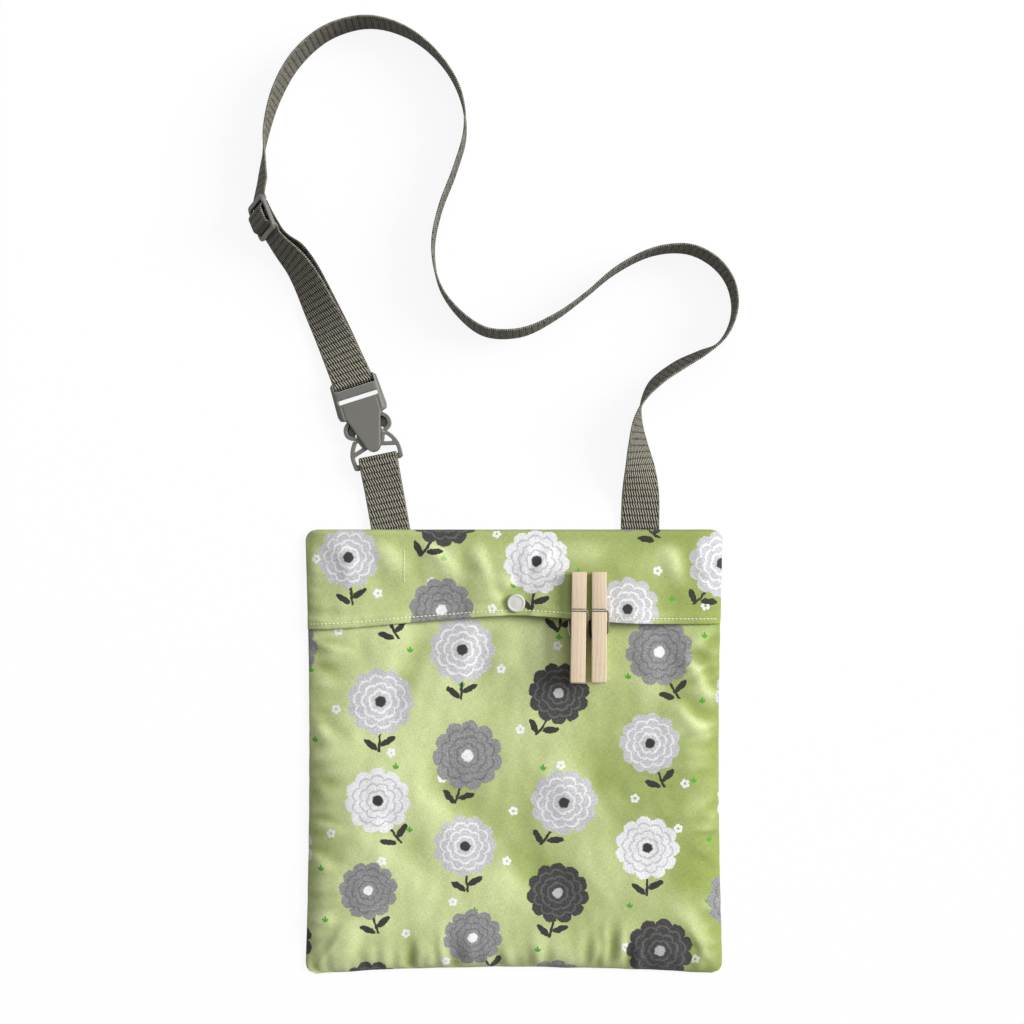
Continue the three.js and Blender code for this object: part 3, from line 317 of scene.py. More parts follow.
def sum_node(operation, swapped=False):
    """A method that adds a Math node, with its two values swapped where the socket comes second."""

    def method(self, other):
        return self.finish.maths(operation, *((other, self) if swapped else (self, other)))

    return method


class Value:
    """A node's output, which adds Math nodes as it is used in sums."""

    def __init__(self, finish, socket):
        self.finish = finish
        self.socket = socket

    def __abs__(self):
        return self.finish.maths("ABSOLUTE", self)

    __add__ = __radd__ = sum_node("ADD")
    __mul__ = __rmul__ = sum_node("MULTIPLY")
    __sub__ = sum_node("SUBTRACT")
    __rsub__ = sum_node("SUBTRACT", True)
    __truediv__ = sum_node("DIVIDE")
    __mod__ = sum_node("FLOORED_MODULO")


class Finish:
    """A material whose nodes are written as expressions, with constants on the shader's sockets."""

    def __init__(self, name, constants):
        self.material = bpy.data.materials.new(name)
        self.material.use_nodes = True
        self.tree = self.material.node_tree
        self.shader = self.tree.nodes["Principled BSDF"]
        for socket, value in constants.items():
            self.shader.inputs[socket].default_value = value

    def feed(self, socket, value):
        if isinstance(value, Value):
            self.tree.links.new(value.socket, socket)
        elif hasattr(value, "__len__") and socket.type == "RGBA":
            socket.default_value = (*value[:3], 1)
        else:
            socket.default_value = value

    def node(self, kind, settings=None, inputs=None, output=0):
        """One node: its type, its settings, set first, and its sockets' values or links."""
        made = self.tree.nodes.new(kind)
        for key, value in (settings or {}).items():
            setattr(made, key, value)
        for key, value in (inputs or {}).items():
            self.feed(made.inputs[key], value)
        return Value(self, made.outputs[output])

    def maths(self, operation, *values):
        return self.node("ShaderNodeMath", {"operation": operation}, dict(enumerate(values)))

    def rise(self, value, low, high):
        """0 below low, 1 above high, and smooth between."""
        return self.node(
            "ShaderNodeMapRange", {"interpolation_type": "SMOOTHSTEP"},
            {"Value": value, "From Min": low, "From Max": high},
        )

    def mix(self, factor, first, second):
        sockets = {0: factor, 6: first, 7: second}
        return self.node("ShaderNodeMix", {"data_type": "RGBA"}, sockets, 2)

    def shade(self, colour, value):
        """A colour made darker or lighter by a value."""
        sockets = {0: colour, "Scale": value}
        return self.node("ShaderNodeVectorMath", {"operation": "SCALE"}, sockets)

    def vector(self, x, y, z=0.0):
        return self.node("ShaderNodeCombineXYZ", None, {0: x, 1: y, 2: z})

    def split(self, vector):
        return [self.node("ShaderNodeSeparateXYZ", None, {0: vector}, i) for i in range(3)]

    def noise(self, vector, scale, detail=2.0, output=0):
        return self.node(
            "ShaderNodeTexNoise", {"noise_dimensions": "3D"},
            {"Vector": vector, "Scale": scale, "Detail": detail}, output,
        )

    def place(self, source):
        return self.node("ShaderNodeTexCoord", None, None, source)

    def attribute(self, name):
        return self.node("ShaderNodeAttribute", {"attribute_name": name}, None, "Fac")

    def finish(self, colour, roughness, height, depth, strength=1.0):
        """Sets the colour and roughness, and the relief as a bump of that depth in metres."""
        self.feed(self.shader.inputs["Base Color"], colour)
        self.feed(self.shader.inputs["Roughness"], roughness)
        relief = {"Strength": strength, "Distance": depth, "Height": height}
        bump = self.node("ShaderNodeBump", None, relief)
        self.feed(self.shader.inputs["Normal"], bump)
        return self.material


def lattice(finish, across, up, pitch_x, pitch_y, seed):
    """Folds the cloth into half-drop cells.

    It gives the place from a cell's middle, its column and row, and chances.
    """
    column = finish.maths("FLOOR", across / pitch_x)
    dropped = up + (column % 2) * (pitch_y / 2)
    row = finish.maths("FLOOR", dropped / pitch_y)
    chance = finish.node(
        "ShaderNodeTexWhiteNoise", {"noise_dimensions": "3D"},
        {"Vector": finish.vector(column, row, seed)}, "Color",
    )
    x = across - (column + 0.5) * pitch_x
    y = dropped - (row + 0.5) * pitch_y
    return x, y, column, row, finish.split(chance)


def turned(finish, x, y, angle):
    cos, sin = finish.maths("COSINE", angle), finish.maths("SINE", angle)
    return x * cos + y * sin, y * cos - x * sin


def distance(finish, x, y):
    return finish.maths("SQRT", x * x + y * y)


def petal_edge(finish, angle, petals, phase, depth):
    """The outline of a ring of petals as a share of its radius."""
    lobe = abs(finish.maths("COSINE", angle * (petals / 2) + phase))
    return 1 - depth + finish.maths("SQRT", lobe) * depth


def flower_print(finish, look, across, up, painted_shade_and_dye_tone):
    """Flower heads in four finishes on a half-drop, with small blossoms and leaves between, on a
    ground with painted shade.
    """
    wobble = finish.split(finish.noise(finish.vector(across, up), 0.35, 2.0, 1))
    scribble = finish.noise(finish.vector(across, up), 0.9, 3.0)
    pitch = look.motif_across / MM, look.motif_up / MM
    x, y, column, row, chance = lattice(finish, across, up, *pitch, 1.0)
    x = x + (chance[0] - 0.5) * 9 + (wobble[0] - 0.5) * 2.4
    y = y + (chance[1] - 0.5) * 11 - 4 + (wobble[1] - 0.5) * 2.4
    x, y = turned(finish, x, y, (chance[2] - 0.5) * 1.1)
    kind = (column + row * 2 + finish.maths("FLOOR", chance[0] * 2)) % 4

    radius = 18.5 + chance[1] * 4
    angle = finish.maths("ARCTAN2", y, x)
    r = distance(finish, x, y) / radius
    head = 1 - finish.rise(r - petal_edge(finish, angle, 11, 0.0, 0.17), -0.015, 0.025)
    rings = 0
    for reach, petals, phase in ((0.78, 10, 0.6), (0.55, 8, 0.2), (0.33, 6, 0.9)):
        edge = petal_edge(finish, angle, petals, phase, 0.2) * reach
        line = 1 - finish.rise(abs(r - edge), 0.012, 0.05)
        rings = finish.maths("MAXIMUM", line, rings)
    eye = 1 - finish.rise(r, 0.14, 0.19)
    fleck = finish.rise(scribble, 0.46, 0.62)
    curls = 1 - finish.rise(abs(finish.maths("SINE", scribble * 42)), 0.16, 0.42)
    curly = kind % 2

    def pick(values):
        """One of four colours, by the head's kind."""
        chosen = values[0]
        for number, value in enumerate(values[1:], 1):
            chosen = finish.mix(finish.rise(kind, number - 0.6, number - 0.4), chosen, value)
        return chosen

    white, pale, grey, charcoal = look.white, look.pale_grey, look.grey, look.charcoal
    faded = tuple(0.5 * a + 0.5 * b for a, b in zip(charcoal, grey))
    fill = pick([white, charcoal, pale, grey])
    flecks = pick([pale, faded, white, pale])
    lines = pick([pale, grey, white, charcoal])
    eyes = pick([charcoal, pale, charcoal, white])
    fill = finish.mix(fleck * 0.4, fill, flecks)
    fill = finish.mix(rings * (0.8 - curly * 0.35), fill, lines)
    fill = finish.mix(curls * (0.14 + curly * 0.5), fill, flecks)
    fill = finish.mix(eye, fill, eyes)

    below = y + radius
    stalk_line = abs(x - below * below * 0.05 * (chance[2] - 0.5))
    stalk = (1 - finish.rise(stalk_line, 0.6, 1.05)) * finish.rise(below, -11, -10.4)
    stalk = stalk * (1 - finish.rise(below, 2, 3))
    leaves = 0
    for side, drop, lean in ((1, 3.4, 0.5), (-1, 6.2, 0.65)):
        lx, ly = turned(finish, x - side * 5.4, below + drop, side * lean)
        blade = distance(finish, lx / 5.6, ly / 2.1)
        leaves = finish.maths("MAXIMUM", 1 - finish.rise(blade, 0.92, 1.05), leaves)
    stems = finish.maths("MAXIMUM", stalk, leaves)

    bx, by, _, _, luck = lattice(finish, across + 21, up + 13, 37, 43, 7.0)
    bx = bx + (luck[0] - 0.5) * 17 + (wobble[1] - 0.5)
    by = by + (luck[1] - 0.5) * 17 + (wobble[0] - 0.5)
    b_angle = finish.maths("ARCTAN2", by, bx) + luck[2] * 6
    b = distance(finish, bx, by) / 3.1
    blossom = 1 - finish.rise(b - petal_edge(finish, b_angle, 5, 0.0, 0.42), -0.06, 0.06)
    blossom = blossom * finish.rise(b, 0.22, 0.32) * finish.rise(luck[2], 0.34, 0.36)

    tx, ty, _, _, fate = lattice(finish, across + 5, up + 31, 49, 39, 3.0)
    tx = tx + (fate[0] - 0.5) * 24
    ty = ty + (fate[1] - 0.5) * 16
    tuft = 0
    for lean, length in ((-0.65, 3.4), (0.0, 4.6), (0.6, 3.6)):
        gx, gy = turned(finish, tx, ty, lean)
        share = gy / length
        width = finish.maths("MAXIMUM", share * (1 - share) * 3.4, 0)
        tuft = finish.maths("MAXIMUM", finish.rise(width - abs(gx), -0.05, 0.25), tuft)
    tuft = tuft * finish.rise(fate[2], 0.25, 0.27)

    # The ground goes from painted shade to its own colour by the painted light level
    base = finish.mix(tuft, finish.mix(painted_shade_and_dye_tone, look.painted_shade_ground, look.ground), look.sprig)
    base = finish.mix(blossom, base, white)
    base = finish.mix(stems, base, charcoal)
    return finish.mix(head, base, fill)


def printed_cotton(look):
    soft = {"Sheen Weight": 0.12, "Sheen Roughness": 0.6, "Specular IOR Level": 0.15}
    finish = Finish("printed_cotton", soft)
    across, up, _ = finish.split(finish.place("UV"))
    across, up = across / MM, up / MM
    cloudy = finish.noise(finish.vector(across, up), 0.06, 4.0)
    # The painted light level from the cloth's attribute, mixed with random dye clouds
    painted_shade_and_dye_tone = finish.rise(finish.attribute(PAINTED_LIGHT_ATTRIBUTE) + (cloudy - 0.5) * 0.3, 0.0, 1.0)
    colour = flower_print(finish, look, across, up, painted_shade_and_dye_tone)
    pitch = look.weave / MM
    warp = finish.maths("SINE", across * (math.pi / pitch))
    weft = finish.maths("SINE", up * (math.pi / pitch))
    slub_up = finish.noise(finish.vector(across * 2.4, up * 0.3), 1.0)
    slub_across = finish.noise(finish.vector(across * 0.3, up * 2.4, 5.0), 1.0)
    slub = slub_up + slub_across - 1
    mottle = finish.noise(finish.vector(across, up, 9.0), 1.3, 3.0)
    # A little painted shade joins the slubs, mottle and weave
    tone = 0.83 + slub * 0.5 + mottle * 0.3 + warp * weft * 0.05 + (painted_shade_and_dye_tone - 0.5) * 0.06
    height = warp * weft * 0.5 + slub * 1.6
    return finish.finish(finish.shade(colour, tone), 0.86 + slub * 0.1, height, 0.00012, 0.6)


def cotton_thread(look):
    finish = Finish("sewing_thread", {"Sheen Weight": 0.2})
    x, y, z = finish.split(finish.place("Object"))
    ply = finish.maths("SINE", (x + y + z) * (2 * math.pi / (0.7 * MM)))
    tone = 0.94 + ply * 0.06
    return finish.finish(finish.shade(look.thread, tone), 0.7 - ply * 0.05, ply, 0.00006)


def strap_webbing(look):
    """Rows of slanting dashes, half a dash apart, between two corded selvedges."""
    finish = Finish("strap_webbing", {"Specular IOR Level": 0.12})
    across, along, _ = finish.split(finish.place("UV"))
    rows = along / look.row
    row = finish.maths("FLOOR", rows)
    step = rows - row - 0.5
    ribs = across * (look.columns / (WEBBING_WIDTH * MM)) + (row % 2) * 0.5 - step * look.slant
    off = ribs - finish.maths("FLOOR", ribs) - 0.5
    yarn = finish.noise(finish.vector(across * 700, along * 350), 1.0, 3.0)
    dash = (1 - finish.rise(abs(off), 0.08, 0.43)) * (1 - finish.rise(abs(step), 0.22, 0.5) * 0.55)
    middle = WEBBING_WIDTH / 2 * MM
    selvedge = finish.rise(abs(across - middle), middle - 0.0011, middle - 0.0007)
    cord = 0.5 + finish.maths("SINE", along * (2 * math.pi / (look.row * 0.33))) * 0.25
    lift = dash * (1 - selvedge) + cord * selvedge
    fibre = finish.noise(finish.vector(across * 5200, along * 700), 1.0)
    tone = finish.rise(lift + (yarn - 0.5) * 0.9, 0.05, 0.95)
    # Random fibre tone, times painted light: stations in painted shadow come out darker
    lit = (0.8 + fibre * 0.4) * (finish.attribute(PAINTED_LIGHT_ATTRIBUTE) * 1.5 + 0.25)
    colour = finish.shade(finish.mix(tone, look.dark, look.pale), lit)
    return finish.finish(colour, 0.72 - tone * 0.12, lift + fibre * 0.12, 0.0005, 0.8)


def moulded_plastic(name, colour, roughness, grain, hollows=False):
    """Satin plastic, which may have painted shade in its hollows and a painted highlight on its rims.
    """
    finish = Finish(name, {"Specular IOR Level": 0.45})
    place = finish.place("Object")
    fine = finish.noise(place, 2600, 2.0)
    broad = finish.noise(place, 70, 3.0)
    scuff = finish.rise(finish.noise(place, 420, 4.0), 0.58, 0.72)
    tone = 0.95 + (broad - 0.5) * 0.14 + (fine - 0.5) * 0.06 + scuff * 0.05
    if hollows:
        # Painted shade in the hollows and a painted highlight on the rims
        raised = finish.attribute(PAINTED_CAVITY_LIGHT)
        flat, rim = finish.rise(raised, 0.05, 0.29), finish.rise(raised, 0.36, 0.9)
        tone = tone * (0.35 + flat * 0.65 + rim * 0.42)
    rough = roughness + (broad - 0.5) * 0.16 + scuff * 0.08
    return finish.finish(finish.shade(colour, tone), rough, fine, grain)


def peg_wood(look):
    finish = Finish("sanded_beech", {"Specular IOR Level": 0.25})
    x, y, z = finish.split(finish.place("Object"))
    drift = finish.noise(finish.vector(x * 90, y * 14, z * 90), 1.0)
    rings = finish.maths("SINE", (x * 2600 + z * 900 + drift * 14))
    fibre = finish.noise(finish.vector(x * 2600, y * 46, z * 2600), 1.0, 3.0)
    flecks = finish.rise(finish.noise(finish.vector(x * 1500, y * 150, z * 1500), 1.0), 0.64, 0.74)
    growth = finish.rise(rings * 0.5 + 0.5, 0.35, 1.0) * 0.5 + fibre * 0.34
    colour = finish.mix(growth * 0.62 + flecks * 0.3, look.wood, look.grain)
    colour = finish.shade(colour, 0.95 + (drift - 0.5) * 0.2)
    return finish.finish(colour, 0.6 + fibre * 0.18, fibre - flecks * 0.7, 0.00018)


def spring_wire(look):
    finish = Finish("spring_wire", {"Metallic": 1.0})
    place = finish.place("Object")
    drawn = finish.noise(place, 900, 3.0)
    dull = finish.noise(place, 160, 2.0)
    colour = finish.shade(look.wire, 0.8 + dull * 0.4)
    return finish.finish(colour, 0.24 + drawn * 0.2, drawn, 0.00004)


# Modelling by hand


def only(obj):
    """Leaves one object selected and active."""
    bpy.ops.object.select_all(action="DESELECT")
    obj.select_set(True)
    bpy.context.view_layer.objects.active = obj


@contextmanager
def editing(obj):
    """Edit mode on one object, at first with all of it selected."""
    only(obj)
    bpy.ops.object.mode_set(mode="EDIT")
    bpy.ops.mesh.select_all(action="SELECT")
    yield
    bpy.ops.object.mode_set(mode="OBJECT")


def added(primitive, **settings):
    """The new object of an operator that adds one."""
    bpy.ops.object.select_all(action="DESELECT")
    primitive(**settings)
    return bpy.context.object


def join(obj, other):
    only(obj)
    other.select_set(True)
    bpy.ops.object.join()


def apply_modifier(obj, kind, **settings):
    only(obj)
    modifier = obj.modifiers.new(kind.title(), kind)
    for key, value in settings.items():
        setattr(modifier, key, value)
    bpy.ops.object.modifier_apply(modifier=modifier.name)


def wear(obj, material):
    obj.data.materials.clear()
    obj.data.materials.append(material)


def cloth_grid(name, columns, rows, place):
    """A grid laid out by place(u, v), with u and v from 0 to 1.

    place gives a point in mm, its place on the flat cloth, and its painted light level.
    """
    obj = added(
        bpy.ops.mesh.primitive_grid_add, x_subdivisions=columns, y_subdivisions=rows, size=1,
    )
    obj.name = obj.data.name = name
    flat = []
    crest = obj.data.attributes.new(PAINTED_LIGHT_ATTRIBUTE, "FLOAT", "POINT")
    for vertex in obj.data.vertices:
        point, spot, raised = place(vertex.co.x + 0.5, vertex.co.y + 0.5)
        vertex.co = Vector(point) * MM
        crest.data[vertex.index].value = raised
        flat.append((spot[0] * MM, spot[1] * MM))
    layer = obj.data.uv_layers.active.data
    for loop in obj.data.loops:
        layer[loop.index].uv = flat[loop.vertex_index]
    return obj


def thicken(obj, thickness, edge, on_cut=None):
    """Gives a sheet its thickness under its outer face, and rounds its rim except along a cut."""
    apply_modifier(obj, "SOLIDIFY", thickness=thickness * MM, offset=-1, use_quality_normals=True)
    with editing(obj):
        bpy.ops.mesh.select_mode(type="EDGE")
        bpy.ops.mesh.select_all(action="DESELECT")
        bpy.ops.mesh.edges_select_sharp(sharpness=math.radians(60))
        mesh = bmesh.from_edit_mesh(obj.data)
        for rim in mesh.edges:
            if rim.select and on_cut and all(on_cut(corner.co / MM) for corner in rim.verts):
                rim.select_set(False)
        bmesh.update_edit_mesh(obj.data)
        bpy.ops.mesh.bevel(offset=edge * MM, segments=2, affect="EDGES")
    bpy.ops.object.shade_smooth_by_angle(angle=math.radians(50))


def stand_in(node, name, material):
    """A copy of a packed node, its corners joined, which stands for the node."""
    source = frame["nodes"][node]
    obj = bpy.data.objects.new(name, source.data.copy())
    bpy.context.scene.collection.objects.link(obj)
    with editing(obj):
        bpy.ops.mesh.remove_doubles(threshold=0.000005)
        bpy.ops.mesh.dissolve_limited(angle_limit=math.radians(1))
    if "custom_normal" in obj.data.attributes:
        obj.data.attributes.remove(obj.data.attributes["custom_normal"])
    wear(obj, material)
    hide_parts(node)
    return obj


def sand(obj, edge):
    """Rounds the edges of a cut piece."""
    apply_modifier(
        obj, "BEVEL", width=edge, segments=3, limit_method="ANGLE", angle_limit=math.radians(38),
        use_clamp_overlap=True,
    )
    bpy.ops.object.shade_smooth_by_angle(angle=math.radians(40))


def mould(obj, skin, round_off=None):
    """Gives a piece one even skin, rounds it off by a rule for points in mm, and eases its edges.

    It also marks the skin's hollows and rims with Blender's dirt operator, for painted shade in the
    hollows and a painted highlight on the rims.
    """
    apply_modifier(obj, "REMESH", mode="VOXEL", voxel_size=skin)
    if round_off:
        for vertex in obj.data.vertices:
            vertex.co = round_off(vertex.co / MM) * MM
    apply_modifier(obj, "SMOOTH", factor=0.5, iterations=7)
    bpy.ops.object.shade_smooth()
    obj.data.color_attributes.new(PAINTED_CAVITY_LIGHT, "FLOAT_COLOR", "POINT")
    bpy.ops.paint.vertex_color_dirt(
        blur_strength=1, blur_iterations=2, normalize=False,
        clean_angle=math.radians(100), dirt_angle=math.radians(60),
    )


def edge_fall(across, down, inside):
    """How far an edge rounded over those distances falls at a distance inside it."""
    reach = min(max(1 - inside / across, 0), 1)
    return down * (1 - math.sqrt(1 - reach * reach))


def rounded_socket(point):
    """The buckle's socket with its outline rounded off, broadly on its body, less on its tongue."""
    offset = point - BUCKLE_AT
    x, y = abs(offset.dot(BUCKLE_ACROSS)), offset.dot(BUCKLE_DOWN)
    over = (point.z - LOOP_BAR_Z) / (BUCKLE_THICKNESS / 2)
    outer = math.copysign(smoothstep(abs(over), 0.6, 1), over)
    if y < BODY_LENGTH:
        from_end = BODY_LENGTH - y + 8 * smoothstep(TONGUE_HALF - x, -2, 1)
        inside = min(BUCKLE_WIDTH / 2 - x, y + 1, from_end)
        line = PLATE_LINE_DEPTH * bell(inside - BODY_ROUND[0], 0.4)
        line *= smoothstep(y, PLATE_START, PLATE_START + 1)
        fall = edge_fall(*BODY_ROUND, inside) * over + line * outer
    else:
        share = (y - BODY_LENGTH) / (BUCKLE_LENGTH - BODY_LENGTH)
        inside = min(TONGUE_HALF + (TONGUE_TIP - TONGUE_HALF) * share - x, BUCKLE_LENGTH - y)
        fall = edge_fall(*TONGUE_ROUND, inside) * outer
    return point - UP * fall


# The cloth's shape


def smoothstep(value, low, high):
    share = min(max((value - low) / (high - low), 0), 1)
    return share * share * (3 - 2 * share)


def bell(distance_from, reach):
    return math.exp(-((distance_from / reach) ** 2))


def half_width(y):
    level = min(abs(y) / TOP, 1)
    past = max(abs(y) - (TOP - CORNER_RADIUS), 0)
    corner = math.sqrt(max(CORNER_RADIUS**2 - past**2, 0))
    return BAG_WIDTH / 2 - SIDE_HOLLOW * (1 - level**2) - CORNER_RADIUS + corner


def puff(from_seam):
    return 1 - math.exp(-max(from_seam, 0) / EDGE_PUFF)


def front_top(x, y):
    fullness = smoothstep(-y, -CROWN_START, -CROWN_FULL)
    height = UPPER_HEIGHT + (CROWN_HEIGHT - UPPER_HEIGHT) * fullness - CLOTH - RIM_LOW
    return RIM_LOW + height * puff(half_width(y) - abs(x)) * puff(y + TOP) + CLOTH


def drift(x, y, seed):
    return noise.noise(Vector((x, y, seed)))


# Soft folds in the cloth: from, to, half width and height
POCKET_FOLDS = [
    ((49, -146), (51, -120), 3.4, 1.7), ((63, -146), (68, -112), 4.2, 2.2),
    ((79, -146), (75, -118), 3.6, 1.8), ((-66, -146), (-62, -122), 4, 1.6),
    ((-30, -146), (-33, -124), 4, 1.4), ((14, -146), (12, -126), 3.6, 1.3),
    ((-100, -146), (-96, -126), 4.5, 1.4), ((104, -146), (100, -124), 4, 1.3),
    ((-6, -146), (-8, -130), 3, 1), ((112, 64), (138, 30), 5, 2.2),
    ((104, 34), (137, 6), 5.5, 1.8), ((137, 80), (112, 62), 4.5, 1.6),
    ((-137, 24), (-106, 4), 6, 1.9), ((-137, 58), (-112, 44), 5, 1.5),
    ((-137, -12), (-114, -26), 5, 1.5), ((-137, -62), (-110, -76), 5, 1.7),
    ((-137, -100), (-114, -106), 4.5, 1.4), ((138, -30), (112, -40), 5, 1.5),
    ((138, -72), (112, -62), 5, 1.6), ((138, -104), (116, -98), 4.5, 1.4),
    ((124, -132), (96, -98), 8, 1.5), ((-126, -134), (-98, -102), 8, 1.5),
    ((-66, 78), (-94, 22), 11, 1.4), ((88, 78), (98, 26), 10, 1.4),
    ((-20, 84), (-34, 40), 9, 1.2), ((22, 82), (34, 36), 9, 1.1),
    ((-60, -20), (-20, -60), 13, 1.2), ((30, 0), (70, -50), 13, 1.2),
    ((-10, -70), (30, -104), 12, 1.1), ((-90, -50), (-50, -92), 12, 1.1),
    ((-137, 76), (-104, 66), 2.6, 1.1), ((137, 58), (106, 46), 2.4, 1),
    ((-137, -38), (-110, -48), 2.6, 1), ((137, -52), (114, -50), 2.4, 0.9),
    ((56, -145), (58, -110), 2.2, 0.9), ((-46, -145), (-50, -116), 2.2, 0.8),
    ((137, 20), (100, 10), 2.6, 0.9), ((-128, -138), (-112, -112), 2.4, 0.9),
    ((126, -138), (112, -112), 2.4, 0.9),
]
FLAP_FOLDS = [
    ((-56, 143), (-33, 112), 5, 1.6), ((16, 140), (7, 114), 4.5, 1.4),
    ((100, 141), (114, 106), 7, 1.5), ((-112, 141), (-94, 108), 7, 1.4),
    ((-22, 138), (-12, 106), 5, 1.2), ((26, 134), (14, 108), 4, 1.1),
    ((-84, 143), (-70, 116), 6, 1.2), ((122, 138), (128, 104), 5, 1.2),
    ((-128, 136), (-124, 98), 5, 1.1),
]


def fold_height(x, y, folds, hollow):
    """The soft folds at a place: each a ridge beside a hollow, dying away at its ends."""
    spot = Vector((x, y))
    total = 0
    for start, end, width, height in folds:
        a, b = Vector(start), Vector(end)
        line = b - a
        share = (spot - a).dot(line) / line.length_squared
        off = (spot - a).cross(line) / line.length + 2 * drift(x / 15, y / 15, width)
        if abs(off) > 4 * width or not -0.2 < share < 1.2:
            continue
        taper = smoothstep(share, -0.2, 0.25) * (1 - smoothstep(share, 0.4, 1.2))
        profile = bell(off - 0.7 * width, width) - hollow * bell(off + 0.8 * width, width)
        total += height * taper * profile
    return total


def calm(x, y):
    """0 where the fastener or the pegs hold the cloth still, 1 well away from them."""
    snap = bell(max(math.hypot(x - SNAP_X, y - SNAP_Y) - 8, 0), 9)
    pegs = bell(max(abs(x - PEGS_X) - 17, 0), 9) * bell(max(abs(y - PEGS_Y) - 36, 0), 9)
    return (1 - snap) * (1 - pegs)


def creases(x, y, look):
    """Height of the pocket's folds and seam gathers."""
    side = half_width(y) - abs(x)
    foot = y + TOP
    gather = 0
    for edge, run, seed in ((side, y, 11.3 if x > 0 else 17.9), (foot, x, 23.1)):
        fade = (1 - math.exp(-max(edge, 0) / 2.5)) * math.exp(-max(edge, 0) / 12)
        fine, coarse = drift(run / 7, edge / 30, seed), drift(run / 15, edge / 40, seed + 3)
        gather += fade * (fine + 0.8 * coarse)
    folds = fold_height(x, y, POCKET_FOLDS, 0.9) * puff(side) * puff(foot)
    return 2 * look.pucker / MM * gather + folds


def broad_waves(x, y):
    return 0.8 * drift(x / 58, y / 49, 0.3) + 0.5 * drift(x / 27, y / 31, 4.1)


def relief(x, y, look):
    """Height of the pocket's waves and creases over the plain puffed shape."""
    inside = puff(half_width(y) - abs(x)) * puff(y + TOP)
    wave = broad_waves(x, y) + 0.3 * drift(x / 9, y / 12, 7.7)
    return (look.wrinkle / MM * wave * inside + creases(x, y, look)) * calm(x, y)


def sewn_outline(u, y):
    """A point across the bag at a level, u from -1 to 1, with the bottom seam's bow and waves."""
    ripple = 0.5 * drift(y / 21, 1 if u > 0 else 9, 2.2)
    x = u * half_width(y)
    foot = 0.55 * drift(x / 17, 3, 6.4) * math.exp(-(y + TOP) / 9)
    foot += BOTTOM_HOLLOW * (1 - u * u) * smoothstep(-y, 0, TOP)
    return x + math.copysign(ripple * abs(u) ** 6, u), y + foot


def painted_light_level(x, y, height):
    """The painted light level of the cloth's ground: from 0, painted shade in its deepest hollows, to
    1, painted light on its highest crests, with painted shade to the right and along the side seams.
    """
    seam = PAINTED_SHADE_SEAM_RIGHT if x > 0 else PAINTED_SHADE_SEAM_LEFT
    seam *= math.exp((abs(x) - half_width(y)) / PAINTED_SHADE_SEAM_REACH)
    level = PAINTED_LIGHT_MIDDLE - x / PAINTED_SHADE_ACROSS - PAINTED_SHADE_RIGHT * smoothstep(x, 50, 130) - seam
    return min(max(level + height / PAINTED_SHADE_RELIEF, 0), 1)


def front_cloth_point(u, v, look):
    y = -TOP + (MOUTH_Y + TOP) * v
    side = 2 * u - 1
    x = side * half_width(y)
    z = front_top(x, y) + relief(x, y, look)
    # The relief that sets the painted light and shade: the creases and the broad waves
    raised = creases(x, y, look) + 0.7 * look.wrinkle / MM * broad_waves(x, y)
    return (*sewn_outline(side, y), z), (x, y), painted_light_level(x, y, raised)


def back_cloth_point(u, v):
    level = -TOP + 2 * TOP * v
    x, y = sewn_outline(2 * u - 1, level)
    shift_x, shift_y = BACK_PRINT_SHIFT
    # The back panel gets an even painted light level
    return (x, y, BACK_THICKNESS), (x + shift_x, level + shift_y), LIT


def hem_y(x):
    lifted = HEM_RISE * bell(x - SNAP_X, HEM_RISE_SPREAD)
    return TOP - FLAP_DEPTH + lifted - HEM_LEFT_DROP * smoothstep(-x, 60, BAG_WIDTH / 2)


def fold_top(x):
    """Height of the fold along the top, which dies away into the side seams."""
    rise = FOLD_Z + FOLD_RADIUS - FOLD_END_HEIGHT
    return FOLD_END_HEIGHT + rise * puff(half_width(FOLD_Y) - abs(x))


def fold_low(x):
    """Where the fold meets the back, lifted over the two webbings that leave there."""
    lift = 0
    for middle, inner, outer, height in FLAP_OPENINGS:
        lift = max(lift, height * (1 - smoothstep(abs(x - middle), inner, outer)))
    return BACK_THICKNESS + 0.2 + lift


def flap_under(x, y, look):
    level = min(y, MOUTH_Y)
    lying = front_top(x, level) + relief(x, level, look) + FLAP_GAP
    down = smoothstep(TOP - y, 0, MOUTH_DEPTH)
    over_snap = (SNAP_STACK - FLAP_GAP) * bell(max(abs(x - SNAP_X) - SNAP_FLAT, 0), SNAP_SPREAD)
    over_pegs = (PEG_STACK - FLAP_GAP) * bell(max(abs(x - PEGS_X) - PEG_FLAT, 0), PEG_SPREAD)
    raised = lying + max(over_snap, over_pegs) * down
    near_fold = 1 - smoothstep(FOLD_Y - y, 0, FLAP_SIDE_RUN)
    return raised + (fold_top(x) - CLOTH - raised) * near_fold


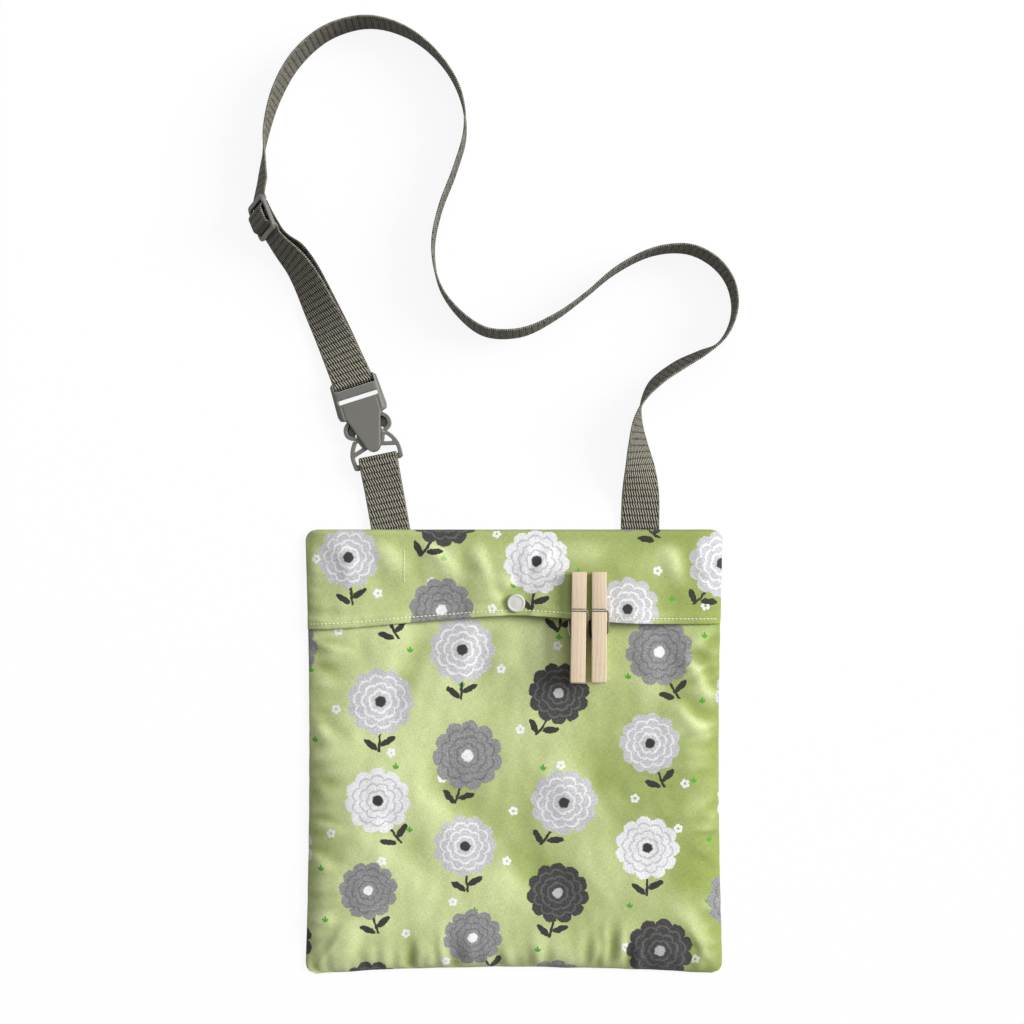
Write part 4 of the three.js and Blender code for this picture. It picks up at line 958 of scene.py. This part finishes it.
def flap_waves(x, y, look):
    """The flap's relief over its plain shape: folds, hem ripples, and puckers at the snap."""
    inside = puff(half_width(y) - abs(x)) * smoothstep(FOLD_Y - y, 0, 14)
    wave = 0.9 * max(drift(x / 31, y / 46, 31.7) + 0.25, 0)
    wave += 0.5 * max(drift(x / 13, y / 30, 37.3), 0) + fold_height(x, y, FLAP_FOLDS, 0)
    from_hem = y - hem_y(x)
    ripple = 0.3 * (1 + drift(x / 4.2, 0, 43.9)) * bell(from_hem - 4.4, 2.6)
    reach = math.hypot(x - SNAP_X, y - SNAP_Y)
    spoke = 0.55 * (1 + math.sin(7 * math.atan2(y - SNAP_Y, x - SNAP_X))) * bell(reach - 15, 6)
    snap = smoothstep(reach, 7.5, 12)
    quiet = bell(max(abs(x - PEGS_X) - 13, 0), 7) * bell(max(y - 117, 0), 8)
    return (0.8 * look.wrinkle / MM * wave * inside + ripple + spoke * inside) * snap * (1 - quiet)


def hem_cloth(x, y, hem):
    """The flap's thickness: doubled where its hem is turned in, and drawn in along the stitches."""
    turned_in = 1 - smoothstep(y - hem, HEM_DEPTH - 1.5, HEM_DEPTH + 0.5)
    groove = GROOVE_DEPTH * bell(y - hem - STITCH_INSET, GROOVE_REACH) * (1 - bell(x - PEGS_X, 14))
    return CLOTH + (HEM_THICKNESS - CLOTH) * turned_in - groove


def flap_point(u, v, left, right, look):
    """A point of the flap's outer face: round the fold up to ROLL_SHARE, then down to the hem."""
    side = left + (right - left) * u
    if v < ROLL_SHARE:
        angle = (v / ROLL_SHARE - 0.5) * math.pi
        y = FOLD_Y + FOLD_RADIUS * math.cos(angle)
        x = side * half_width(y)
        low, high = fold_low(x), fold_top(x)
        z = (low + high) / 2 + (high - low) / 2 * math.sin(angle)
        waves = 0
        run = FOLD_Y + (math.pi / 2 - angle) * 4
    else:
        end = hem_y(side * BAG_WIDTH / 2)
        y = FOLD_Y + (end - FOLD_Y) * (v - ROLL_SHARE) / (1 - ROLL_SHARE)
        x = side * half_width(y)
        waves = flap_waves(x, y, look)
        z = flap_under(x, y, look) + hem_cloth(x, y, end) + waves
        run = y
    x_out, _ = sewn_outline(side, y)
    shift_x, shift_y = FLAP_PRINT_SHIFT
    # The flap's painted light: paler on its waves, with painted shade over all of it
    crest = painted_light_level(x, y, FLAP_PAINTED_LIGHT * waves - FLAP_PAINTED_SHADE)
    return (x_out, y, z), (x + shift_x, run + shift_y), crest


def on_flap_cut(point):
    """Whether a point lies on the cut between the flap's two parts."""
    return abs(point.x - FLAP_CUT * half_width(point.y)) < 0.4


def flap_top(x, y, look):
    thick = hem_cloth(x, y, hem_y(x))
    return Vector((x, y, flap_under(x, y, look) + thick + flap_waves(x, y, look)))


def stitches(name, line, pitch, material):
    """A row of stitches along points in mm: small capsules with their ends tipped into the cloth."""
    pattern = added(bpy.ops.mesh.primitive_uv_sphere_add, segments=6, ring_count=5, radius=1)
    shape = [vertex.co.copy() for vertex in pattern.data.vertices]
    faces = [tuple(face.vertices) for face in pattern.data.polygons]
    bpy.data.objects.remove(pattern)
    lengths = [0]
    for a, b in zip(line, line[1:]):
        lengths.append(lengths[-1] + (b - a).length)
    mesh = bmesh.new()

    def at(length):
        for i in range(len(line) - 1):
            if lengths[i + 1] >= length:
                share = (length - lengths[i]) / max(lengths[i + 1] - lengths[i], 1e-6)
                return line[i].lerp(line[i + 1], share)
        return line[-1].copy()

    count = int(lengths[-1] / pitch)
    for number in range(count):
        start, end = at(pitch * (number + 0.05)), at(pitch * (number + 0.95))
        along = (end - start).normalized()
        side = UP.cross(along).normalized()
        up = along.cross(side)
        middle = (start + end) / 2
        reach = (end - start).length / 2
        made = []
        for p in shape:
            bow = 0.1 - 0.3 * p.z * p.z
            spot = middle + along * (p.z * reach) + side * (p.x * 0.42) + up * (p.y * 0.34 + bow)
            made.append(mesh.verts.new(spot * MM))
        for face in faces:
            mesh.faces.new([made[i] for i in face])
    data = bpy.data.meshes.new(name)
    bmesh.ops.recalc_face_normals(mesh, faces=mesh.faces)
    mesh.to_mesh(data)
    mesh.free()
    data.shade_smooth()
    obj = bpy.data.objects.new(name, data)
    bpy.context.scene.collection.objects.link(obj)
    wear(obj, material)
    return obj


# The webbing's shape


def spline(points, share):
    """A centripetal Catmull-Rom curve through points, at a share of its spans."""
    place = (len(points) - 1) * share
    i = min(int(place), len(points) - 2)
    w = place - i
    p1, p2 = points[i], points[i + 1]
    p0 = points[i - 1] if i > 0 else p1 * 2 - p2
    p3 = points[i + 2] if i + 2 < len(points) else p2 * 2 - p1
    d0, d1, d2 = ((b - a).length ** 0.5 for a, b in ((p0, p1), (p1, p2), (p2, p3)))
    d1 = d1 if d1 >= 1e-4 else 1.0
    d0 = d0 if d0 >= 1e-4 else d1
    d2 = d2 if d2 >= 1e-4 else d1
    t1 = ((p1 - p0) / d0 - (p2 - p0) / (d0 + d1) + (p2 - p1) / d1) * d1
    t2 = ((p2 - p1) / d1 - (p3 - p1) / (d1 + d2) + (p3 - p2) / d2) * d1
    return p1 + t1 * w + (p2 * 3 - p1 * 3 - t1 * 2 - t2) * w**2 + (p1 * 2 - p2 * 2 + t1 + t2) * w**3


def route_stations(route, count):
    """Along a route: the webbing's middle, and its directions across and out of its face."""
    line = [Vector((x, y, low)) for x, y, low, _ in route]
    lean = [Vector((angle, 0, 0)) for _, _, _, angle in route]
    made = []
    for number in range(count + 1):
        share = number / count
        low = spline(line, share)
        ahead = spline(line, min(share + 1e-4, 1)) - spline(line, max(share - 1e-4, 0))
        along = Vector((ahead.x, ahead.y, 0)).normalized()
        angle = math.radians(spline(lean, share).x)
        side = Vector((along.y, -along.x, 0))
        across = side * math.cos(angle) + UP * math.sin(angle)
        face = across.cross(along).normalized()
        reach = WEBBING_WIDTH / 2 * abs(across.z) + WEBBING_THICKNESS / 2 * abs(face.z)
        made.append((low + UP * reach, across, face))
    return made


def in_slider(along, height, slope):
    """The webbing at a distance along the slider and a height over it, in the slider's frame."""

    def out(v):
        cos, sin = math.cos(SLIDER_TILT), math.sin(SLIDER_TILT)
        x, y, z = v[0] * cos - v[2] * sin, v[1], v[0] * sin + v[2] * cos
        cos, sin = math.cos(SLIDER_TURN), math.sin(SLIDER_TURN)
        return Vector((x * cos - y * sin, x * sin + y * cos, z))

    across = out((1, 0, 0))
    ahead = out(Vector((0, -1, -slope)).normalized())
    return SLIDER_AT + out((0, along, height)), across, across.cross(ahead).normalized()


def threaded_stations():
    """The strap behind the slider's upper end, over its centre bar and behind its lower end."""
    reach = SLIDER_LENGTH / 2 + THREAD_REACH
    inner = SLIDER_LENGTH / 2 - SLIDER_END - THREAD_EASE
    outer = SLIDER_LENGTH / 2 - SLIDER_END - THREAD_SLACK

    def height(y):
        share = min(max((abs(y) - inner) / (outer - inner), 0), 1)
        return THREAD_BULGE + (THREAD_LIFT + THREAD_BULGE) * (math.cos(math.pi * share) - 1) / 2

    made = []
    for number in range(THREAD_STATIONS + 1):
        y = reach * (1 - 2 * number / THREAD_STATIONS)
        slope = (height(y + 0.2) - height(y - 0.2)) / 0.4
        centre, across, face = in_slider(y, height(y), slope)
        made.append((centre, across * SQUEEZED, face))
    return made


def doubled_stations():
    """From behind the slider under the buckle's end bar, round it and back on top, as one strip.

    Also how many of its stations lie behind the slider.
    """
    half = (LAYER_GAP + WEBBING_THICKNESS) / 2

    def outward(face):
        return -face if face.z < 0 else face

    down, back = [], []
    start = -SLIDER_LENGTH / 2 - THREAD_REACH - WRAP_GAP
    for distance_along, depth in BEHIND_SLIDER:
        centre, across, face = in_slider(distance_along, -depth, 0)
        down.append((centre, across * SQUEEZED, outward(face)))
    behind = len(down)
    for distance_along in (start, start - 2, start - 4):
        for layers, depth in ((down, THREAD_LIFT + 2 * half), (back, THREAD_LIFT)):
            centre, across, face = in_slider(distance_along, -depth, 0)
            layers.append((centre, across, outward(face)))
    for number, (centre, across, face) in enumerate(route_stations(RETURN_ROUTE, RETURN_STATIONS)):
        out = outward(face)
        slip = LAYER_SLIP * (1 - smoothstep(number / RETURN_STATIONS, -0.1, 0.7))
        beside = Vector((out.x, out.y, 0)).normalized() * slip
        down.append((centre + UP * half - out * half - beside, across, out))
        back.append((centre + UP * half + out * half, across, out))
    bar = BUCKLE_AT + UP * LOOP_BAR_Z + BUCKLE_DOWN * (END_BAR / 2)
    wrap = math.hypot(END_BAR, END_BAR_THICKNESS) / 2 + WRAP_GAP + WEBBING_THICKNESS / 2
    bend = []
    for number in range(13):
        angle = -math.pi / 2 + math.pi * number / 12
        out = BUCKLE_DOWN * math.cos(angle) + UP * math.sin(angle)
        centre = bar + out * wrap + BUCKLE_DOWN * (0.6 * math.cos(angle))
        bend.append((centre, BUCKLE_ACROSS * SQUEEZED, out))
    under = [(centre, across, -face) for centre, across, face in down]
    return smoothed(under + bend + back[::-1]), behind


def smoothed(stations, passes=6):
    """Eases the corners of a strip's line, its ends kept."""
    for _ in range(passes):
        eased = [stations[0]]
        for before, here, after in zip(stations, stations[1:], stations[2:]):
            centre = (before[0] + here[0] * 2 + after[0]) / 4
            across = (before[1] + here[1] * 2 + after[1]) / 4
            face = (before[2] + here[2] * 2 + after[2]).normalized()
            eased.append((centre, across, face))
        stations = eased + [stations[-1]]
    return stations


def section():
    """The webbing's rounded section, once round: place across and height over its middle."""
    flat = WEBBING_WIDTH / 2 - 0.6
    edge = [(flat + 0.45, 0.71), (flat + 0.6, 0.0), (flat + 0.45, -0.71)]
    half = WEBBING_THICKNESS / 2
    top = [(flat * (1 - 2 * i / STRIP_COLUMNS), half) for i in range(STRIP_COLUMNS + 1)]
    right = [(x, h * half) for x, h in edge]
    left = [(-x, -h) for x, h in right]
    bottom = [(-x, -h) for x, h in top]
    return top + left + bottom + right[::-1]


def webbing_strip(name, stations, material, start=0.0, mirror=1, painted_shadow_stations=()):
    """A closed strip of webbing along stations, with the length along it on its UV map.

    Its stations in painted shadow, given by number, are painted darker than the rest.
    """
    lit = [PAINTED_SHADOW_LEVEL if number in painted_shadow_stations else LIT for number in range(len(stations))]
    ring = section()
    ring = ring + ring[:1]
    lengths = [start]
    for (a, _, _), (b, _, _) in zip(stations, stations[1:]):
        lengths.append(lengths[-1] + (b - a).length)

    def place(u, v):
        number = round(v * (len(stations) - 1))
        off, height = ring[round(u * (len(ring) - 1))]
        centre, across, face = stations[number]
        ripple = 0.12 * drift(lengths[number] / 17, off / 9, 3.3)
        spot = (off * mirror + WEBBING_WIDTH / 2, lengths[number])
        return centre + across * off + face * (height + ripple), spot, lit[number]

    obj = cloth_grid(name, len(ring) - 1, len(stations) - 1, place)
    with editing(obj):
        bpy.ops.mesh.remove_doubles(threshold=0.00001)
        bpy.ops.mesh.select_all(action="DESELECT")
        bpy.ops.mesh.select_non_manifold()
        bpy.ops.mesh.fill()
        bpy.ops.mesh.select_all(action="SELECT")
        bpy.ops.mesh.normals_make_consistent(inside=False)
    bpy.ops.object.shade_smooth_by_angle(angle=math.radians(60))
    wear(obj, material)
    return obj, lengths[-1]


# Operators

FINISHES = {}


def finish_for(name, make):
    """Makes a material the first time it is asked for."""
    if name not in FINISHES:
        FINISHES[name] = make()
    return FINISHES[name]


def cloth_finish(scene):
    return finish_for("cloth", lambda: printed_cotton(scene.bag_cloth))


def webbing_finish(scene):
    return finish_for("webbing", lambda: strap_webbing(scene.bag_webbing))


def moulding_finish(scene):
    colour = scene.bag_hard_parts.moulding
    return finish_for(
        "moulding", lambda: moulded_plastic("buckle_moulding", colour, 0.46, 0.00006, True),
    )


def snap_finish(scene):
    colour = scene.bag_hard_parts.snap
    return finish_for("snap", lambda: moulded_plastic("fastener_plastic", colour, 0.34, 0.00002))


def seen_directly(tree):
    """1 for rays from the camera, a reflection or through glass."""
    path = tree.nodes.new("ShaderNodeLightPath")
    either = path.outputs["Is Camera Ray"]
    for name in ("Is Glossy Ray", "Is Transmission Ray"):
        most = tree.nodes.new("ShaderNodeMath")
        most.operation = "MAXIMUM"
        tree.links.new(either, most.inputs[0])
        tree.links.new(path.outputs[name], most.inputs[1])
        either = most.outputs[0]
    return either


class PEGBAG_OT_stage(bpy.types.Operator):
    """Sets the camera straight above the bag, the lamps, and the white floor"""

    bl_idname = "peg_bag.stage"
    bl_label = "Stage"

    def execute(self, context):
        scene = context.scene
        look = scene.bag_stage
        camera = bpy.data.objects.new("camera", bpy.data.cameras.new("camera"))
        camera.location = (CAMERA_X, look.camera_y, look.camera_height)
        camera.data.lens = look.lens
        scene.collection.objects.link(camera)
        scene.camera = camera
        target = Vector((0, look.camera_y, 0))
        lamps = (
            ("key", "SUN", (1.8, 0.65, 1.1), look.key, {"angle": math.radians(30)}),
            ("fill", "AREA", (0.35, 1.0, 1.7), look.fill, {"size": 1.2}),
        )
        for name, kind, place, power, settings in lamps:
            lamp = bpy.data.objects.new(name, bpy.data.lights.new(name, kind))
            lamp.location = place
            lamp.rotation_euler = (target - Vector(place)).to_track_quat("-Z", "Y").to_euler()
            lamp.data.energy = power
            for key, value in settings.items():
                setattr(lamp.data, key, value)
            scene.collection.objects.link(lamp)
        self.sky(scene, look)
        self.floor(look)
        scene.view_settings.view_transform = "Standard"
        return {"FINISHED"}

    def sky(self, scene, look):
        """Even grey light on the object, and plain white where the sky itself is seen."""
        world = scene.world or bpy.data.worlds.new("sky")
        scene.world = world
        world.use_nodes = True
        tree = world.node_tree
        seen = seen_directly(tree)
        light = tree.nodes["Background"]
        light.inputs["Color"].default_value = (1, 1, 1, 1)
        light.inputs["Strength"].default_value = look.sky
        white = tree.nodes.new("ShaderNodeBackground")
        white.inputs["Color"].default_value = (1, 1, 1, 1)
        mix = tree.nodes.new("ShaderNodeMixShader")
        tree.links.new(seen, mix.inputs[0])
        tree.links.new(light.outputs[0], mix.inputs[1])
        tree.links.new(white.outputs[0], mix.inputs[2])
        tree.links.new(mix.outputs[0], tree.nodes["World Output"].inputs["Surface"])

    def floor(self, look):
        """A wide grey floor that keeps the shadow and is seen as white, mostly by its own glow."""
        floor = added(bpy.ops.mesh.primitive_plane_add, size=30, location=(0, 0, 0))
        floor.name = "floor"
        finish = Finish("floor", {"Roughness": 0.9, "Specular IOR Level": 0.0})
        tree = finish.tree
        seen = Value(finish, seen_directly(tree))
        speck = finish.noise(finish.place("Object"), 240, 2.0)
        colour = finish.shade(finish.mix(seen, look.floor, FLOOR_WHITE), 0.99 + speck * 0.02)
        finish.feed(finish.shader.inputs["Base Color"], colour)
        glow = tree.nodes.new("ShaderNodeEmission")
        glow.inputs["Strength"].default_value = 1
        mix = tree.nodes.new("ShaderNodeMixShader")
        finish.feed(mix.inputs[0], seen * FLOOR_GLOW)
        tree.links.new(finish.shader.outputs[0], mix.inputs[1])
        tree.links.new(glow.outputs[0], mix.inputs[2])
        tree.links.new(mix.outputs[0], tree.nodes["Material Output"].inputs["Surface"])
        wear(floor, finish.material)


class PEGBAG_OT_pocket(bpy.types.Operator):
    """Sews the bag's front and back panels"""

    bl_idname = "peg_bag.pocket"
    bl_label = "Pocket"

    def execute(self, context):
        look = context.scene.bag_cloth
        front = cloth_grid("front_cloth", 150, 144, lambda u, v: front_cloth_point(u, v, look))
        thicken(front, CLOTH, 0.5)
        back = cloth_grid("back_cloth", 100, 110, back_cloth_point)
        thicken(back, BACK_THICKNESS, 0.42)
        for obj, (node, length) in zip((front, back), PANEL_LENGTHS.items()):
            wear(obj, cloth_finish(context.scene))
            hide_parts(node)
            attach(obj, "bag")
        return {"FINISHED"}


class PEGBAG_OT_flap(bpy.types.Operator):
    """Folds the flap over the top, with its stitched hem, caught in the side seams at its ends"""

    bl_idname = "peg_bag.flap"
    bl_label = "Flap"

    def execute(self, context):
        look = context.scene.bag_cloth
        thread = finish_for("thread", lambda: cotton_thread(look))
        for part, (left, right, held, free) in FLAP_PARTS.items():
            columns = round((right - left) * 76)
            obj = cloth_grid(
                f"flap_{part}_cloth", columns, 62,
                lambda u, v, a=left, b=right: flap_point(u, v, a, b, look),
            )
            with editing(obj):
                bpy.ops.mesh.flip_normals()
            thicken(obj, CLOTH, 0.5, on_flap_cut)
            wear(obj, cloth_finish(context.scene))
            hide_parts("flap")
            seam = self.stitching(part, left, right, look, thread)
            for piece in (obj, seam):
                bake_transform(piece)
            width = (right - left) * BAG_WIDTH / 2 * MM + FLAP_ALLOWANCE
        return {"FINISHED"}

    def stitching(self, part, left, right, look, thread):
        """The row along the hem, and on the left the short row that holds the webbing inside."""
        line = []
        for number in range(141):
            x = (left + (right - left) * number / 140) * (half_width(90) - 1.5)
            line.append(flap_top(x, hem_y(x) + STITCH_INSET, look) + UP * STITCH_LIFT)
        row = stitches(f"flap_{part}_stitches", line, look.stitch / MM, thread)
        if part == "left":
            line = [flap_top(TACK_X, y, look) + UP * STITCH_LIFT for y in range(*TACK_RUN)]
            join(row, stitches("flap_tack", line, look.stitch / MM, thread))
        return row


class PEGBAG_OT_strap(bpy.types.Operator):
    """Lays the long strap from the bag's top right to the slider"""

    bl_idname = "peg_bag.strap"
    bl_label = "Long strap"

    def execute(self, context):
        stations = route_stations(STRAP_ROUTE, STRAP_STATIONS)
        stations = smoothed(stations + threaded_stations()[1:], 2)
        obj, length = webbing_strip("long_strap", stations, webbing_finish(context.scene))
        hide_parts("strap_main")
        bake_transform(obj)
        path = [tuple(centre * MM) for centre, _, _ in stations]
        length * MM
        return {"FINISHED"}


class PEGBAG_OT_strap_loop(bpy.types.Operator):
    """Lays the doubled stretch from the slider round the buckle's end bar and back"""

    bl_idname = "peg_bag.strap_loop"
    bl_label = "Doubled strap"

    def execute(self, context):
        stations, behind = doubled_stations()
        half = (len(stations) - behind) // 2
        under, over = behind + half // 2, len(stations) - half // 2
        # Painted shadow on all of the upper part, and on the lower part as far as just past its turn
        # round the end bar
        parts = (
            ("strap_loop_upper", stations[: under + 1], range(under + 1)),
            ("strap_loop_lower", stations[under:over], range(behind + half - under + 3)),
            ("strap_loop_back", stations[over - 1 :], ()),
        )
        material = webbing_finish(context.scene)
        strips, run = [], 0
        for name, part, painted_shadow_stations in parts:
            strip, run = webbing_strip(name, part, material, run, -1, painted_shadow_stations)
            strips.append(strip)
        first, lower, last = strips
        join(first, last)
        top, cut, foot = (stations[number][0] for number in (behind, under, behind + half))
        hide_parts("strap_return")
        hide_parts("strap_return")
        tuple(top * MM)
        tuple(cut * MM)
        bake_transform(first)
        moving = foot.lerp(cut, 0.12)
        tuple(cut * MM)
        tuple(moving * MM)
        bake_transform(lower)
        return {"FINISHED"}


class PEGBAG_OT_stub(bpy.types.Operator):
    """Folds the short webbing at the bag's top left round the buckle's loop"""

    bl_idname = "peg_bag.stub"
    bl_label = "Short webbing"

    def execute(self, context):
        along = Vector((-math.sin(STUB_LEAN), math.cos(STUB_LEAN), 0))
        across = Vector((math.cos(STUB_LEAN), math.sin(STUB_LEAN), 0))
        bar = BUCKLE_AT + BUCKLE_DOWN * LOOP_BAR_AT
        skew = math.tan(FOLD_SKEW)
        reach = (bar.y - TAIL_Y) / math.cos(STUB_LEAN)
        radius = LOOP_BAR_RADIUS + WRAP_GAP + WEBBING_THICKNESS / 2 + 0.4
        low = RIM_LOW + WEBBING_THICKNESS / 2
        high = low + WEBBING_THICKNESS + 0.05
        line = [(-reach * (1 - i / 24), low, -90.0) for i in range(25)]
        for angle in range(-75, 91, 15):
            cos, sin = math.cos(math.radians(angle)), math.sin(math.radians(angle))
            line.append((radius * cos, LOOP_BAR_Z + radius * sin, angle))
        crest = LOOP_BAR_Z + radius
        for i in range(1, 13):
            share = i / 12
            z = crest + (high - crest) * smoothstep(share, 0.1, 1)
            line.append((-STUB_PARTING * share, z, 90.0))
        rest = reach - STUB_PARTING
        line += [(-STUB_PARTING - rest * i / 20, high, 90.0) for i in range(1, 21)]
        stations = []
        for distance_along, z, angle in line:
            face = along * math.cos(math.radians(angle)) + UP * math.sin(math.radians(angle))
            near = smoothstep(distance_along, -reach, -4)
            lean = across + along * skew * near
            stations.append((bar + along * (distance_along + 0.8 * near) + UP * z, lean, face))
        obj, _ = webbing_strip("stub_webbing_cloth", stations, webbing_finish(context.scene))
        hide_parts("stub_webbing")
        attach(obj, "bag")
        return {"FINISHED"}


class PEGBAG_OT_buckle(bpy.types.Operator):
    """Rounds the moulded edges of the buckle, its springy arms and the slider"""

    bl_idname = "peg_bag.buckle"
    bl_label = "Buckle and slider"

    def execute(self, context):
        material = moulding_finish(context.scene)
        skin = context.scene.bag_hard_parts.skin
        for node, name in MOULDINGS.items():
            obj = stand_in(node, name, material)
            if "arm" in name:
                self.web(obj, -1 if "left" in name else 1)
            mould(obj, skin, rounded_socket if node == "buckle_female" else None)
            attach(obj, frame["nodes"][node]["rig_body"])
        return {"FINISHED"}

    def web(self, arm, side):
        """Closes the bow of an arm underneath with a thin web."""
        middle = BUCKLE_AT + BUCKLE_ACROSS * (side * WEB_X) + BUCKLE_DOWN * WEB_Y + UP * WEB_Z
        web = added(bpy.ops.mesh.primitive_cylinder_add, vertices=32, radius=MM, depth=MM)
        for vertex in web.data.vertices:
            x, y, z = vertex.co / MM
            across, down = BUCKLE_ACROSS * (x * WEB_HALF_WIDTH), BUCKLE_DOWN * (y * WEB_HALF_LENGTH)
            vertex.co = (middle + across + down + UP * z) * MM
        join(arm, web)


class PEGBAG_OT_fastener(bpy.types.Operator):
    """Finishes the press fastener's four pieces and eases its cap's edges"""

    bl_idname = "peg_bag.fastener"
    bl_label = "Press fastener"

    def execute(self, context):
        look = context.scene.bag_hard_parts
        material = snap_finish(context.scene)
        for node in ("snap_socket", "snap_stud", "snap_stud_cap"):
            wear(frame["nodes"][node], material)
        cap = stand_in("snap_cap", "snap_cap_moulding", material)
        mould(cap, look.skin)
        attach(cap, "flap")
        return {"FINISHED"}


class PEGBAG_OT_pegs(bpy.types.Operator):
    """Sands the pegs' edges and finishes their springs"""

    bl_idname = "peg_bag.pegs"
    bl_label = "Pegs"

    def execute(self, context):
        look = context.scene.bag_hard_parts
        wood = finish_for("wood", lambda: peg_wood(look))
        wire = finish_for("wire", lambda: spring_wire(look))
        for side in ("left", "right"):
            for leg, body in (("upper", f"peg_{side}_upper"), ("lower", "flap")):
                obj = stand_in(f"peg_{side}_{leg}_leg", f"peg_{side}_{leg}_wood", wood)
                sand(obj, look.peg_edge)
                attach(obj, body)
            spring = stand_in(f"peg_{side}_spring", f"peg_{side}_wire", wire)
            bpy.ops.object.shade_smooth_by_angle(angle=math.radians(50))
            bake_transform(spring)
        return {"FINISHED"}


STEPS = (
    PEGBAG_OT_stage, PEGBAG_OT_buckle, PEGBAG_OT_strap_loop, PEGBAG_OT_strap, PEGBAG_OT_stub,
    PEGBAG_OT_pocket, PEGBAG_OT_flap, PEGBAG_OT_fastener, PEGBAG_OT_pegs,
)
LOOKS = {
    "bag_cloth": BagClothLook,
    "bag_webbing": WebbingLook,
    "bag_hard_parts": HardPartsLook,
    "bag_stage": BagStageLook,
}


class PEGBAG_PT_panel(bpy.types.Panel):
    """The bag's sizes, colours and making, in the 3D view's sidebar"""

    bl_idname = "PEGBAG_PT_panel"
    bl_label = "Peg Bag"
    bl_space_type = "VIEW_3D"
    bl_region_type = "UI"
    bl_category = "Peg Bag"

    def draw(self, context):
        for name, look in LOOKS.items():
            box = self.layout.box()
            box.label(text=look.__doc__)
            for key in look.__annotations__:
                box.prop(getattr(context.scene, name), key)
        for step in STEPS:
            self.layout.operator(step.bl_idname)


def register():
    for cls in (*LOOKS.values(), *STEPS, PEGBAG_PT_panel):
        bpy.utils.register_class(cls)
    for name, look in LOOKS.items():
        setattr(bpy.types.Scene, name, PointerProperty(type=look))


def unregister():
    for name in LOOKS:
        delattr(bpy.types.Scene, name)
    for cls in (PEGBAG_PT_panel, *reversed(STEPS), *LOOKS.values()):
        bpy.utils.unregister_class(cls)


def main():
    register()
    for step in STEPS:
        group, name = step.bl_idname.split(".")
        getattr(getattr(bpy.ops, group), name)()


if __name__ == "__main__":
    main()
